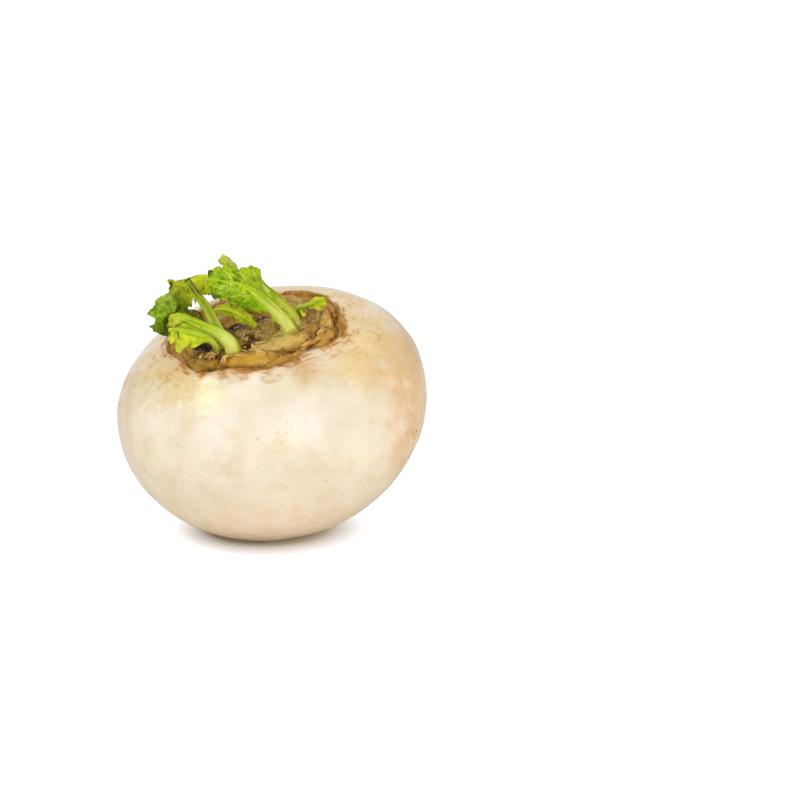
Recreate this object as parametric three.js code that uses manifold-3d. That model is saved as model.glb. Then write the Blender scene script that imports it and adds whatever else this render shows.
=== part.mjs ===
// A white turnip with a few young leaves sprouting from its cut crown, in millimetres, +Z up.
// It lies tipped on its base, as a turnip with a trimmed root does: the crown leans towards -Y and a little
// towards -X. The origin is on the small flat spot it rests on, straight below the middle of the root.
import * as THREE from "three";
import { mergeVertices } from "three/addons/utils/BufferGeometryUtils.js";
import Module from "manifold-3d";

const wasm = await Module();
wasm.setup();

const deg = THREE.MathUtils.degToRad;

// The root: a flattened globe about its own axis, blunter above the girth than below it
const GIRTH_RADIUS = 52.9;
const CROWN_HEIGHT = 32.9; // from the girth to the top of the dome that the crown is sunk into
const CROWN_POWER = 2.23; // 2 is an ellipse, more is blunter
const BASE_HEIGHT = 43.4; // from the girth down to where the root tapers off
const BASE_POWER = 1.97;
const CENTRE_HEIGHT = 43.0; // of the middle of the girth above the surface it rests on
const TIP_FORWARD = deg(20.4); // how far the axis leans towards -Y
const TIP_LEFT = deg(10.8); // and towards -X

// The base: a low flare round the trimmed tap root
const FLARE_RISE = 2.2;
const FLARE_RADIUS = 12;
const STUB_RADIUS = 4.6;
const STUB_RISE = 1.7;
const STUB_EDGE = 0.8; // width of the stub's sloping side

// The crown: an oval basin of old leaf scars, crescent pads parted by crevices
const RIM_RADIUS = 26.6;
const RIM_OVAL = 2.4; // the rim's radius grows by this to the sides and shrinks by it front and back
const RIM_TURN = deg(-10); // bearing of the oval's long axis
const CROWN_LEVEL = 30.0; // height of the basin's floor above the girth, where the dome is higher
const BASIN_DEPTH = 0.8; // how far the basin's floor lies under the skin next to the rim
const CREVICE_DEPTH = 1.3;
const LIP_RISE = 0.5;
const LIP_WIDTH = 2.2;
const PAD_EDGE = 1.5; // width of a pad's sloping edge
const WARP = { reach: 0.9, length: 3.6, phaseX: 1.3, phaseY: 0.4 }; // how the scars' outlines waver
// bearing is counter-clockwise from +X as seen from above the crown, span is half the pad's angle
const SCAR_PADS = [
  { bearing: deg(-48), span: deg(52), inner: 9.5, outer: 22.0, rise: 1.5 },
  { bearing: deg(-97), span: deg(46), inner: 14.0, outer: 23.0, rise: 0.3 },
  { bearing: deg(-10), span: deg(44), inner: 21.5, outer: 28.0, rise: 0.0 },
  { bearing: deg(205), span: deg(30), inner: 18.0, outer: 26.5, rise: 0.2 },
  { bearing: deg(62), span: deg(50), inner: 13.0, outer: 23.0, rise: 0.6 },
  { bearing: deg(122), span: deg(40), inner: 13.5, outer: 24.0, rise: 0.4 },
  { bearing: deg(165), span: deg(32), inner: 15.5, outer: 26.0, rise: 0.0 },
];
const HEART_RADIUS = 10.5; // the low mound in the middle of the scars
const HEART_RISE = 0.8;
// Pits between the stalks, at x and y from the crown's middle
const HOLLOWS = [
  { x: -6.5, y: 2.5, radius: 4.5, depth: 1.6 },
  { x: -17.5, y: -4.0, radius: 5.0, depth: 2.0 },
  { x: -3.2, y: -9.8, radius: 2.8, depth: 1.2 },
];

const DENT = { x: 9, y: 29, radius: 24, depth: 1.4 }; // shallow, in the shoulder behind the crown

// How finely the root is cut into facets
const SEGMENTS = 64;
const CROWN_RINGS = 18; // inside the rim, each a smaller copy of the rim's oval
const SHOULDER_RINGS = [1.03, 1.08, 1.14, 1.24]; // outside the rim, as multiples of it
const BODY_RINGS = 15;
const BASE_RING_RADII = [15, 12, 9, 6.4, 5.2, 4.4, 2.4];

// Leaves
const BLADE_HALF_THICKNESS = 0.35;
const SOCKET_CLEARANCE = 0.42;
const SUNK = 1.8; // how far a stalk stands in the crown
const SOCKET_SIDES = 14;
const SOCKET_RISE = 4; // how far the cut for a socket reaches above the crown
const STALK_STATIONS = 6;
const BLADE_STEP = 1.6; // distance between the cross-sections of a blade
const TIP_SHARE = 0.94; // the outline is cut short here, so a tip keeps some width
const STALK_WING = 0.15; // narrow ridge along each side of a stalk
const STALK_GROOVE = 0.45; // how much of its depth the channel on a stalk's upper side takes
const STALK_SAMPLES = [0, 0.62, 1]; // shares of the stalk's half-width
const BLADE_SAMPLES = [0.5, 1]; // shares of the blade's half-width beyond it
const BLADE_BLUNTNESS = 0.6; // power of the blade's outline: lower is broader at both ends
const TOOTH_DEPTH = 0.16; // share of the width that every other cross-section loses
const VEIN_SWEEP = 0.25; // how far the blade's ribs lean towards the tip
const RIPPLE_RATE = 5; // radians of ripple for each lobe
const RIPPLE_GROWTH = 3; // the ripple is full where the blade is wider than this
const SIDE_PHASE = 1; // keeps the lobes of the two sides from facing each other

const smooth = (x) => THREE.MathUtils.smoothstep(x, 0, 1);

function superellipseHeight(radius, height, power) {
  const share = Math.min(1, radius / GIRTH_RADIUS);
  return height * (1 - share ** power) ** (1 / power);
}

// A crescent pad is full height inside its outline and slopes away over PAD_EDGE outside it
function padWeight(pad, radius, angle) {
  const turn = Math.atan2(Math.sin(angle - pad.bearing), Math.cos(angle - pad.bearing));
  const share = Math.abs(turn) / pad.span;
  if (share >= 1) return 0;
  const outer = pad.inner + (pad.outer - pad.inner) * Math.sqrt(1 - share * share);
  return smooth((radius - pad.inner) / PAD_EDGE) * smooth((outer - radius) / PAD_EDGE);
}

const rimRadius = (angle) => RIM_RADIUS + RIM_OVAL * Math.cos(2 * (angle - RIM_TURN));

// Height of the smooth dome above the girth
function skinHeight(x, y) {
  const fromDent = Math.min(1, Math.hypot(x - DENT.x, y - DENT.y) / DENT.radius);
  const dome = superellipseHeight(Math.hypot(x, y), CROWN_HEIGHT, CROWN_POWER);
  return dome - DENT.depth * (1 - fromDent ** 2) ** 2;
}

// Height of the top surface above the girth, in the root's own frame
function crownHeight(xTrue, yTrue) {
  const x = xTrue + WARP.reach * Math.sin(yTrue / WARP.length + WARP.phaseX);
  const y = yTrue + WARP.reach * Math.sin(xTrue / WARP.length + WARP.phaseY);
  const radius = Math.hypot(x, y);
  const angle = Math.atan2(y, x);
  const skin = skinHeight(xTrue, yTrue);
  const rim = rimRadius(angle);
  const floor = Math.min(skin - BASIN_DEPTH, CROWN_LEVEL);
  let scar = floor - CREVICE_DEPTH;
  for (const pad of SCAR_PADS) {
    const weight = padWeight(pad, radius, angle);
    scar = Math.max(scar, floor - CREVICE_DEPTH + weight * (CREVICE_DEPTH + pad.rise));
  }
  const heart = smooth((HEART_RADIUS - radius) / (2 * PAD_EDGE));
  scar = Math.max(scar, floor - CREVICE_DEPTH + heart * (CREVICE_DEPTH + HEART_RISE));
  for (const hollow of HOLLOWS) {
    scar -= hollow.depth * smooth(1 - Math.hypot(xTrue - hollow.x, yTrue - hollow.y) / hollow.radius);
  }
  const lip = LIP_RISE * Math.exp(-(((radius - rim - LIP_WIDTH) / LIP_WIDTH) ** 2));
  return THREE.MathUtils.lerp(scar, skin + lip, smooth((radius - rim + PAD_EDGE / 2) / PAD_EDGE));
}

// Height of the underside, below the girth
function baseHeight(radius) {
  const skin = superellipseHeight(radius, BASE_HEIGHT, BASE_POWER);
  const flare = FLARE_RISE * Math.exp(-((radius / FLARE_RADIUS) ** 2));
  const stub = STUB_RISE * smooth((STUB_RADIUS + STUB_EDGE - radius) / STUB_EDGE);
  return -(skin + flare + stub);
}

// Point at a polar angle from the crown's end of the axis, on the plain part of the body
function bodyPoint(polar, azimuth) {
  const upper = polar < Math.PI / 2;
  const height = upper ? CROWN_HEIGHT : BASE_HEIGHT;
  const power = upper ? CROWN_POWER : BASE_POWER;
  const across = Math.sin(polar) / GIRTH_RADIUS;
  const along = Math.abs(Math.cos(polar)) / height;
  const reach = (across ** power + along ** power) ** (-1 / power);
  const radius = reach * Math.sin(polar);
  const x = radius * Math.cos(azimuth);
  const y = radius * Math.sin(azimuth);
  return new THREE.Vector3(x, y, upper ? crownHeight(x, y) : baseHeight(radius));
}

// Closed surface over rings of points with a pole at each end
function closedRings(top, rings, bottom) {
  const points = [top, ...rings.flat(), bottom];
  const index = [];
  const at = (ring, k) => 1 + ring * SEGMENTS + (k % SEGMENTS);
  const last = points.length - 1;
  for (let k = 0; k < SEGMENTS; k++) {
    index.push(0, at(0, k), at(0, k + 1));
    index.push(last, at(rings.length - 1, k + 1), at(rings.length - 1, k));
    for (let ring = 0; ring + 1 < rings.length; ring++) {
      index.push(at(ring, k), at(ring + 1, k), at(ring + 1, k + 1));
      index.push(at(ring, k), at(ring + 1, k + 1), at(ring, k + 1));
    }
  }
  return geometryOf(points, index);
}

function geometryOf(points, index) {
  const geometry = new THREE.BufferGeometry().setFromPoints(points);
  geometry.setIndex(index);
  return geometry;
}

function rootRings() {
  const turns = Array.from({ length: SEGMENTS }, (_, k) => (2 * Math.PI * k) / SEGMENTS);
  const ring = (radiusAt, height) =>
    turns.map((turn) => {
      const x = radiusAt(turn) * Math.cos(turn);
      const y = radiusAt(turn) * Math.sin(turn);
      return new THREE.Vector3(x, y, height(x, y));
    });
  const crownRings = [...Array(CROWN_RINGS).keys()].map((i) => (i + 1) / CROWN_RINGS);
  const rings = [...crownRings, ...SHOULDER_RINGS].map((share) =>
    ring((turn) => share * rimRadius(turn), crownHeight),
  );
  const polarOf = (radius, height, power, side) =>
    Math.atan2(radius, side * superellipseHeight(radius, height, power));
  const first = polarOf(SHOULDER_RINGS.at(-1) * (RIM_RADIUS + RIM_OVAL) + 2, CROWN_HEIGHT, CROWN_POWER, 1);
  const final = polarOf(BASE_RING_RADII[0] + 3, BASE_HEIGHT, BASE_POWER, -1);
  for (let i = 0; i < BODY_RINGS; i++) {
    const polar = THREE.MathUtils.lerp(first, final, i / (BODY_RINGS - 1));
    rings.push(turns.map((turn) => bodyPoint(polar, turn)));
  }
  for (const radius of BASE_RING_RADII) {
    const height = (x, y) => baseHeight(Math.hypot(x, y));
    rings.push(ring(() => radius, height));
  }
  return rings;
}

// The root's own frame in the part's frame
function rootMatrix() {
  const axis = new THREE.Vector3(
    -Math.sin(TIP_LEFT) * Math.cos(TIP_FORWARD),
    -Math.sin(TIP_FORWARD),
    Math.cos(TIP_LEFT) * Math.cos(TIP_FORWARD),
  );
  const across = new THREE.Vector3(0, 1, 0).cross(axis).normalize();
  const back = axis.clone().cross(across);
  return new THREE.Matrix4().makeBasis(across, back, axis).setPosition(0, 0, CENTRE_HEIGHT);
}

function solidOf(geometry) {
  const bare = new THREE.BufferGeometry().setAttribute("position", geometry.getAttribute("position"));
  if (geometry.index) bare.setIndex(geometry.index);
  const merged = mergeVertices(bare, 1e-4);
  return new wasm.Manifold(
    new wasm.Mesh({
      numProp: 3,
      vertProperties: new Float32Array(merged.attributes.position.array),
      triVerts: new Uint32Array(merged.index.array),
    }),
  );
}

function geometryFrom(solid) {
  const mesh = solid.getMesh();
  const geometry = new THREE.BufferGeometry();
  const values = new Float32Array(mesh.numVert * 3);
  for (let i = 0; i < mesh.numVert; i++)
    values.set(mesh.vertProperties.subarray(i * mesh.numProp, i * mesh.numProp + 3), i * 3);
  geometry.setAttribute("position", new THREE.BufferAttribute(values, 3));
  geometry.setIndex(new THREE.BufferAttribute(mesh.triVerts, 1));
  geometry.computeVertexNormals();
  return geometry;
}

// Leaves. base is where the stalk leaves the crown, in the root's frame, to the right and to the back of the
// crown's middle. path is the rest of the midrib in the part's frame. stalk and depth are the stalk's
// half-width and half-depth at the crown and at the tip, and the blade begins at the share bladeFrom of the
// length. face points out of the blade's upper side, at the stalk and at the tip. widths are the blade's
// half-widths on the left and right as seen from above, looking the way the leaf grows, and fold is how many
// degrees each side stands up from the midrib, or hangs if it is below 0. fullness above 1 puts the widest
// place nearer the tip. lobes are parted by sinuses of lobeDepth. A barb is a small lobe at a share of the
// length, or a notch if its reach is below 0.
const LEAVES = [
  {
    name: "leaf_front_upper", colour: "#a9c94a",
    base: [-7.0, -13.4],
    path: [
      [-12.3, -23.2, 68.1], [-15.0, -23.0, 70.7], [-19.2, -22.8, 72.8], [-22.9, -22.5, 74.3],
      [-26.6, -22.3, 75.8], [-29.8, -22.0, 76.6], [-32.4, -21.5, 75.9],
    ],
    stalk: [2.7, 0.8], depth: [1.9, 0.7], bladeFrom: 0.58, fullness: 1.3, widths: [4.2, 1.2],
    face: [[-0.35, -0.75, 0.55], [0.0, -0.8, 0.6]],
    fold: [-8, -30], lobes: 2, lobeDepth: 0.3, ripple: 0.4, barbs: [],
  },
  {
    name: "leaf_front_lower", colour: "#b4cc33",
    base: [-12.5, -10.2],
    path: [
      [-17.1, -25.1, 68.0], [-18.6, -27.0, 70.1], [-20.8, -27.4, 71.4], [-23.4, -27.2, 72.2],
      [-26.4, -27.0, 72.8], [-29.2, -26.6, 73.2], [-32.0, -26.2, 72.7],
    ],
    stalk: [1.1, 0.6], depth: [1.0, 0.6], bladeFrom: 0.47, fullness: 1.1, widths: [7.6, 0.5],
    face: [[-0.1, -0.8, 0.6], [0.0, -0.85, 0.5]],
    fold: [-5, -20], lobes: 3, lobeDepth: 0.2, ripple: 0.4, barbs: [],
  },
  {
    name: "stalk_cut_off", colour: "#a8bf4a",
    base: [-9.4, -5.9],
    path: [
      [-15.3, -17.4, 69.2], [-17.3, -17.9, 73.0], [-19.5, -18.0, 77.8], [-22.2, -18.0, 82.0],
      [-24.9, -18.0, 85.8], [-26.5, -18.0, 88.4],
    ],
    stalk: [2.1, 1.0], depth: [1.5, 0.9], bladeFrom: 1, fullness: 1, widths: [0, 0],
    face: [[0.3, -0.9, 0.3], [0.3, -0.9, 0.3]],
    fold: [0, 0], lobes: 0, lobeDepth: 0, ripple: 0, barbs: [],
  },
  {
    name: "leaf_back_left", colour: "#8fb526",
    base: [1.6, 12.6],
    path: [
      [-8.6, -2.0, 79.2], [-13.1, -3.0, 83.7], [-18.6, -4.0, 86.1], [-23.6, -5.0, 86.5],
      [-27.2, -6.0, 85.4], [-29.8, -7.0, 83.6], [-32.6, -8.0, 80.8], [-35.6, -8.8, 78.0],
      [-37.0, -9.4, 74.8], [-38.2, -9.8, 69.4],
    ],
    stalk: [2.0, 0.7], depth: [1.6, 0.7], bladeFrom: 0.3, fullness: 1.15, widths: [8.2, 0.3],
    face: [[0.2, -0.4, 0.9], [-0.6, -0.7, 0.4]],
    fold: [-52, 40], lobes: 3.6, lobeDepth: 0.22, ripple: 0.8,
    barbs: [
      { at: 0.645, side: 1, reach: 1.7, span: 0.035 }, { at: 0.675, side: 1, reach: 2.9, span: 0.035 },
      { at: 0.8, side: 1, reach: 1.8, span: 0.06 }, { at: 0.88, side: 1, reach: 3.9, span: 0.036 },
    ],
  },
  {
    name: "leaf_centre_large", colour: "#7fb51e",
    base: [12.9, -9.6],
    path: [
      [5.5, -20.6, 75.1], [1.9, -21.2, 79.4], [-2.1, -21.8, 83.2], [-6.2, -22.2, 86.1],
      [-9.8, -22.5, 87.7], [-14.2, -23.0, 88.5], [-19.2, -23.5, 89.6],
    ],
    stalk: [2.2, 0.7], depth: [1.6, 0.7], bladeFrom: 0.34, fullness: 1.15, widths: [7.4, 5.6],
    face: [[-0.2, -0.85, 0.5], [-0.1, -0.85, 0.5]],
    fold: [6, 12], lobes: 3, lobeDepth: 0.18, ripple: 0.7,
    barbs: [
      { at: 0.25, side: 0, reach: 1.8, span: 0.035 }, { at: 1.0, side: 0, reach: -2.3, span: 0.09 },
    ],
  },
  {
    name: "leaf_centre_inner", colour: "#9cc43a",
    base: [15.5, -6.2],
    path: [
      [9.3, -17.0, 75.4], [7.0, -17.0, 78.6], [3.7, -16.8, 81.9], [0.2, -16.5, 84.6],
      [-3.0, -16.2, 87.6], [-4.9, -16.0, 90.6], [-6.3, -16.0, 92.4],
    ],
    stalk: [0.9, 0.6], depth: [0.9, 0.6], bladeFrom: 0.1, fullness: 1, widths: [4.2, 0.4],
    face: [[-0.6, -0.7, 0.1], [-0.4, -0.9, 0.1]], fold: [10, 0], lobes: 4, lobeDepth: 0.2, ripple: 0.3,
    barbs: [{ at: 0.87, side: 1, reach: 1.7, span: 0.09 }],
  },
  {
    name: "leaf_top_small", colour: "#c3d262",
    base: [-4.2, 13.6],
    path: [
      [-9.8, 2.6, 81.2], [-11.2, 2.4, 86.4], [-12.4, 2.0, 88.9], [-14.4, 2.0, 90.9],
      [-17.0, 2.0, 92.8],
    ],
    stalk: [1.3, 1.0], depth: [1.0, 0.6], bladeFrom: 0.72, fullness: 1.2, widths: [1.1, 0.6],
    face: [[-0.3, -0.9, 0.0], [-0.3, -0.9, 0.2]],
    fold: [5, 5], lobes: 2, lobeDepth: 0.4, ripple: 0.3, barbs: [],
  },
  {
    name: "leaf_right_small", colour: "#9fc22b",
    base: [14.2, 4.6],
    path: [
      [9.2, -7.2, 77.2], [11.5, -7.8, 77.9], [13.8, -8.2, 78.6], [16.2, -8.7, 79.6],
      [18.6, -9.2, 80.2],
    ],
    stalk: [1.0, 0.5], depth: [0.9, 0.6], bladeFrom: 0.55, fullness: 1.6, widths: [1.2, 3.2],
    face: [[-0.1, -0.8, 0.6], [-0.1, -0.8, 0.6]], fold: [-10, -20], lobes: 1, lobeDepth: 0.3, ripple: 0.2,
    barbs: [{ at: 0.32, side: 1, reach: 3.4, span: 0.09 }],
  },
  {
    name: "leaf_crown_small", colour: "#b1c02c",
    base: [-13.4, 8.6],
    path: [
      [-18.6, -7.0, 75.9], [-16.1, -8.8, 77.1], [-11.8, -10.5, 76.4], [-8.0, -12.0, 74.5],
      [-4.2, -13.0, 71.8],
    ],
    stalk: [0.9, 0.6], depth: [0.9, 0.6], bladeFrom: 0.36, fullness: 0.9, widths: [1.8, 2.0],
    face: [[0.0, -0.8, 0.6], [0.1, -0.85, 0.5]],
    fold: [10, 10], lobes: 3, lobeDepth: 0.12, ripple: 0.2,
    barbs: [
      { at: 1.0, side: 0, reach: -0.5, span: 0.15 }, { at: 1.0, side: 1, reach: -0.5, span: 0.15 },
    ],
  },
  {
    name: "leaf_dried", colour: "#6b5a22",
    base: [-17.0, 9.6],
    path: [[-23.5, -4.5, 73.4], [-24.9, -5.0, 74.9], [-26.7, -5.3, 75.3], [-29.3, -5.6, 74.6]],
    stalk: [0.8, 0.6], depth: [0.8, 0.6], bladeFrom: 0.2, fullness: 1, widths: [3.6, 0.3],
    face: [[0.0, -0.8, 0.6], [0.0, -0.8, 0.6]],
    fold: [-15, 20], lobes: 3, lobeDepth: 0.4, ripple: 0.4, barbs: [],
  },
];

const vector = (p) => new THREE.Vector3(...p);

// Where the leaf's stalk leaves the crown's surface
function leafBase(leaf, matrix) {
  return new THREE.Vector3(...leaf.base, crownHeight(...leaf.base)).applyMatrix4(matrix);
}

// Cross-sections along the midrib: the point, its directions and how far along the blade it is
function leafStations(leaf, matrix) {
  const base = leafBase(leaf, matrix);
  const foot = base.clone().add(base.clone().sub(vector(leaf.path[0])).normalize().multiplyScalar(SUNK));
  const curve = new THREE.CatmullRomCurve3([foot, base, ...leaf.path.map(vector)], false, "centripetal");
  const bladeLength = curve.getLength() * (1 - leaf.bladeFrom);
  const bladeSteps = Math.round(bladeLength / BLADE_STEP);
  const shares = [];
  for (let i = 0; i < STALK_STATIONS; i++) shares.push((leaf.bladeFrom * i) / (STALK_STATIONS - 1));
  for (let i = 1; i <= bladeSteps; i++) {
    shares.push(THREE.MathUtils.lerp(leaf.bladeFrom, 1, i / bladeSteps));
  }
  return shares.map((share, i) => {
    const tangent = curve.getTangentAt(share);
    const wanted = vector(leaf.face[0]).lerp(vector(leaf.face[1]), share);
    const side = wanted.cross(tangent).normalize();
    return {
      share,
      odd: i % 2,
      blade: i < STALK_STATIONS ? 0 : (share - leaf.bladeFrom) / (1 - leaf.bladeFrom),
      point: curve.getPointAt(share),
      tangent,
      side,
      face: tangent.clone().cross(side),
    };
  });
}

// Half-width of the blade beyond the stalk, on side 0 or 1
function bladeWidth(leaf, station, side) {
  const { blade, odd, share } = station;
  const outline = Math.sin(Math.PI * (TIP_SHARE * blade) ** leaf.fullness) ** BLADE_BLUNTNESS;
  const sinus = Math.cos(Math.PI * leaf.lobes * blade + SIDE_PHASE * side) ** 2;
  let width = leaf.widths[side] * outline * (1 - leaf.lobeDepth * sinus);
  for (const barb of leaf.barbs) {
    if (barb.side === side) width += barb.reach * Math.exp(-(((share - barb.at) / barb.span) ** 2));
  }
  return width * (1 - TOOTH_DEPTH * odd);
}

// One half of a cross-section, from the midrib out to the margin: upper and lower points
function halfSection(leaf, station, side) {
  const stalk = THREE.MathUtils.lerp(leaf.stalk[0], leaf.stalk[1], station.share);
  const depth = THREE.MathUtils.lerp(leaf.depth[0], leaf.depth[1], station.share);
  const width = bladeWidth(leaf, station, side) + STALK_WING;
  const sign = side === 0 ? 1 : -1;
  const slope = deg(leaf.fold[side]);
  const wave = leaf.ripple * Math.sin(RIPPLE_RATE * leaf.lobes * station.blade + 2 * SIDE_PHASE * side);
  const place = (across, up) =>
    station.point.clone().addScaledVector(station.side, sign * across).addScaledVector(station.face, up);
  const points = [];
  for (const share of STALK_SAMPLES) {
    const round = Math.sqrt(1 - share * share);
    const half = BLADE_HALF_THICKNESS + (depth - BLADE_HALF_THICKNESS) * round;
    points.push([place(share * stalk, half * (1 - STALK_GROOVE * round)), place(share * stalk, -half)]);
  }
  for (const share of BLADE_SAMPLES) {
    const out = share * width;
    const across = stalk + out * Math.cos(slope);
    const up = out * Math.sin(slope) + wave * share * share * Math.min(1, width / RIPPLE_GROWTH);
    const forward = station.tangent.clone().multiplyScalar(VEIN_SWEEP * out);
    points.push([
      place(across, up + BLADE_HALF_THICKNESS).add(forward),
      place(across, up - BLADE_HALF_THICKNESS).add(forward),
    ]);
  }
  return points;
}

// A leaf is lofted from the crown to its tip, with the same triangles on its upper and lower faces
function leafGeometry(leaf, matrix) {
  const sections = leafStations(leaf, matrix).map((station) => {
    const left = halfSection(leaf, station, 0);
    const right = halfSection(leaf, station, 1).slice(1);
    return [...left.reverse(), ...right];
  });
  const columns = sections[0].length;
  const points = sections.flatMap((section) => section.flat());
  const top = (row, column) => 2 * (row * columns + column);
  const bottom = (row, column) => top(row, column) + 1;
  const index = [];
  const quad = (a, b, c, d) => index.push(a, b, c, a, c, d);
  const rows = sections.length;
  for (let row = 0; row + 1 < rows; row++) {
    for (let column = 0; column + 1 < columns; column++) {
      quad(top(row, column), top(row, column + 1), top(row + 1, column + 1), top(row + 1, column));
      const under = [bottom(row + 1, column + 1), bottom(row, column + 1), bottom(row, column)];
      quad(...under, bottom(row + 1, column));
    }
    quad(bottom(row, 0), top(row, 0), top(row + 1, 0), bottom(row + 1, 0));
    const end = columns - 1;
    quad(top(row, end), bottom(row, end), bottom(row + 1, end), top(row + 1, end));
  }
  for (let column = 0; column + 1 < columns; column++) {
    quad(top(0, column), bottom(0, column), bottom(0, column + 1), top(0, column + 1));
    const row = rows - 1;
    quad(top(row, column + 1), bottom(row, column + 1), bottom(row, column), top(row, column));
  }
  return geometryOf(points, index);
}

// The plain hole that a stalk stands in
function socket(leaf, matrix) {
  const [foot, next] = leafStations(leaf, matrix);
  const hole = new THREE.CylinderGeometry(1, 1, 1, SOCKET_SIDES).rotateX(Math.PI / 2);
  const length = SUNK + SOCKET_RISE;
  const wide = leaf.stalk[0] + STALK_WING + SOCKET_CLEARANCE;
  const deep = leaf.depth[0] + SOCKET_CLEARANCE;
  const along = next.point.clone().sub(foot.point).normalize();
  hole.scale(wide, deep, length).translate(0, 0, length / 2 - SOCKET_CLEARANCE);
  const placed = new THREE.Matrix4().makeBasis(foot.side, along.clone().cross(foot.side), along);
  return hole.applyMatrix4(placed.setPosition(foot.point));
}

function buildRoot(matrix) {
  const top = new THREE.Vector3(0, 0, crownHeight(0, 0));
  const bottom = new THREE.Vector3(0, 0, baseHeight(0));
  let solid = solidOf(closedRings(top, rootRings(), bottom).applyMatrix4(matrix));
  const room = 4 * GIRTH_RADIUS;
  const under = new THREE.BoxGeometry(room, room, room).translate(0, 0, -room / 2);
  solid = solid.subtract(solidOf(under));
  for (const leaf of LEAVES) solid = solid.subtract(solidOf(socket(leaf, matrix)));
  return geometryFrom(solid);
}

function namedMesh(name, geometry, color, roughness) {
  const mesh = new THREE.Mesh(geometry, new THREE.MeshStandardMaterial({ color, roughness, metalness: 0 }));
  mesh.name = name;
  return mesh;
}

const matrix = rootMatrix();
const turnip = new THREE.Group();
turnip.add(namedMesh("swollen_root", buildRoot(matrix), "#efe3c8", 0.45));
for (const leaf of LEAVES) {
  const geometry = leafGeometry(leaf, matrix);
  geometry.computeVertexNormals();
  turnip.add(namedMesh(leaf.name, geometry, leaf.colour, 0.5));
}

export default turnip;
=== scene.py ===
"""A white turnip with a scarred crown and short leaves. Lengths are in millimetres until a mesh is made."""
from math import cos, pi, radians, sin
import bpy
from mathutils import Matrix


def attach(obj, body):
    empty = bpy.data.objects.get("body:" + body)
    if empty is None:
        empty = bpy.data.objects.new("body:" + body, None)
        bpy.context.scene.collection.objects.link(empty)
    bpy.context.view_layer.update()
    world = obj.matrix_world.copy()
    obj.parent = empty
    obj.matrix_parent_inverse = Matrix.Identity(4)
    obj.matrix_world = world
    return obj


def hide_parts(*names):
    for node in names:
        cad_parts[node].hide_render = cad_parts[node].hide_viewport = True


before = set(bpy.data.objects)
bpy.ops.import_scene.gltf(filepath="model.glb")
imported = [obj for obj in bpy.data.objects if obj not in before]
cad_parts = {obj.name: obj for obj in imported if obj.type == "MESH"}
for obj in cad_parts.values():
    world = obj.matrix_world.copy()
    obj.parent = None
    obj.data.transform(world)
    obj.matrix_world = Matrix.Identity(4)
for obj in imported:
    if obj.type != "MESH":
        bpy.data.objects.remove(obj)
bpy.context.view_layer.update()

from types import SimpleNamespace

import bpy
import numpy as np
from mathutils import Vector

MM = 0.001


# Camera: the photograph's viewing angle, a little above the crown's level
CAMERA_TARGET = (0.0435, 0.0, 0.0441)
CAMERA_RISE = radians(12)
CAMERA_DISTANCE = 0.78
CAMERA_LENS = 103.2


def add_camera():
    data = bpy.data.cameras.new("camera")
    data.lens = CAMERA_LENS
    data.sensor_width = 36
    data.clip_end = 50
    camera = bpy.data.objects.new("camera", data)
    bpy.context.scene.collection.objects.link(camera)
    x, y, z = CAMERA_TARGET
    camera.location = (x, y - CAMERA_DISTANCE * cos(CAMERA_RISE), z + CAMERA_DISTANCE * sin(CAMERA_RISE))
    camera.rotation_euler = (pi / 2 - CAMERA_RISE, 0, 0)
    bpy.context.scene.camera = camera


add_camera()


# Small numeric tools
def smooth(x):
    t = np.clip(x, 0, 1)
    return t * t * (3 - 2 * t)


def mix(a, b, share):
    """A colour or vector between a and b for each share."""
    return a + (b - a) * np.asarray(share)[..., None]


def paint(colour, *layers):
    """The colour with layers over it, each a tone and its share."""
    for tone, share in layers:
        colour = mix(colour, tone, share)
    return colour


def bell(value, middle, width):
    """1 where the value is in the middle, falling off over the width to either side."""
    return np.exp(-(((value - middle) / width) ** 2))


def lattice(i, j, k, seed):
    h = (i * 374761393 + j * 668265263 + k * 1440662683 + seed * 974634777) & 0xFFFFFFFF
    h = ((h ^ (h >> 13)) * 1274126177) & 0xFFFFFFFF
    return ((h ^ (h >> 16)) & 0xFFFF) / 32767.5 - 1


def value_noise(points, seed=0):
    """Smooth noise from -1 to 1 with features one unit across."""
    base = np.floor(points).astype(np.int64)
    u = smooth(points - base)
    total = 0
    for corner in np.ndindex(2, 2, 2):
        weight = np.prod([u[..., a] if corner[a] else 1 - u[..., a] for a in range(3)], axis=0)
        total = total + weight * lattice(*(base[..., a] + corner[a] for a in range(3)), seed)
    return total


def fractal(points, size, octaves=4, seed=0, gain=0.55):
    total, weight = 0, 1.0
    for octave in range(octaves):
        total = total + weight * value_noise(points / size * 2**octave, seed + octave)
        weight *= gain
    return total


def streaks(distance, angle, rate, seed):
    """Noise that runs in streaks round the crown."""
    return value_noise(np.stack([distance, rate * np.cos(angle), rate * np.sin(angle)], -1), seed)


def srgb(*values):
    v = np.array(values, float) / 255
    return np.where(v <= 0.04045, v / 12.92, ((v + 0.055) / 1.055) ** 2.4)


# The root, by the same values and formulas as its solid
GIRTH_RADIUS = 52.9
CROWN_HEIGHT = 32.9
CROWN_POWER = 2.23
BASE_HEIGHT = 43.4
BASE_POWER = 1.97
CENTRE_HEIGHT = 43.0
TIP_FORWARD = radians(20.4)
TIP_LEFT = radians(10.8)
FLARE_RISE = 2.2
FLARE_RADIUS = 12
STUB_RADIUS = 4.6
STUB_RISE = 1.7
STUB_EDGE = 0.8
RIM_RADIUS = 26.6
RIM_OVAL = 2.4
RIM_TURN = radians(-10)
CROWN_LEVEL = 30.0
BASIN_DEPTH = 0.8
CREVICE_DEPTH = 1.3
LIP_RISE = 0.5
LIP_WIDTH = 2.2
PAD_EDGE = 1.5
BETWEEN_PADS = srgb(214, 164, 78)
WARP_REACH = 0.9
WARP_LENGTH = 3.6
WARP_PHASE = (1.3, 0.4)
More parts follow.
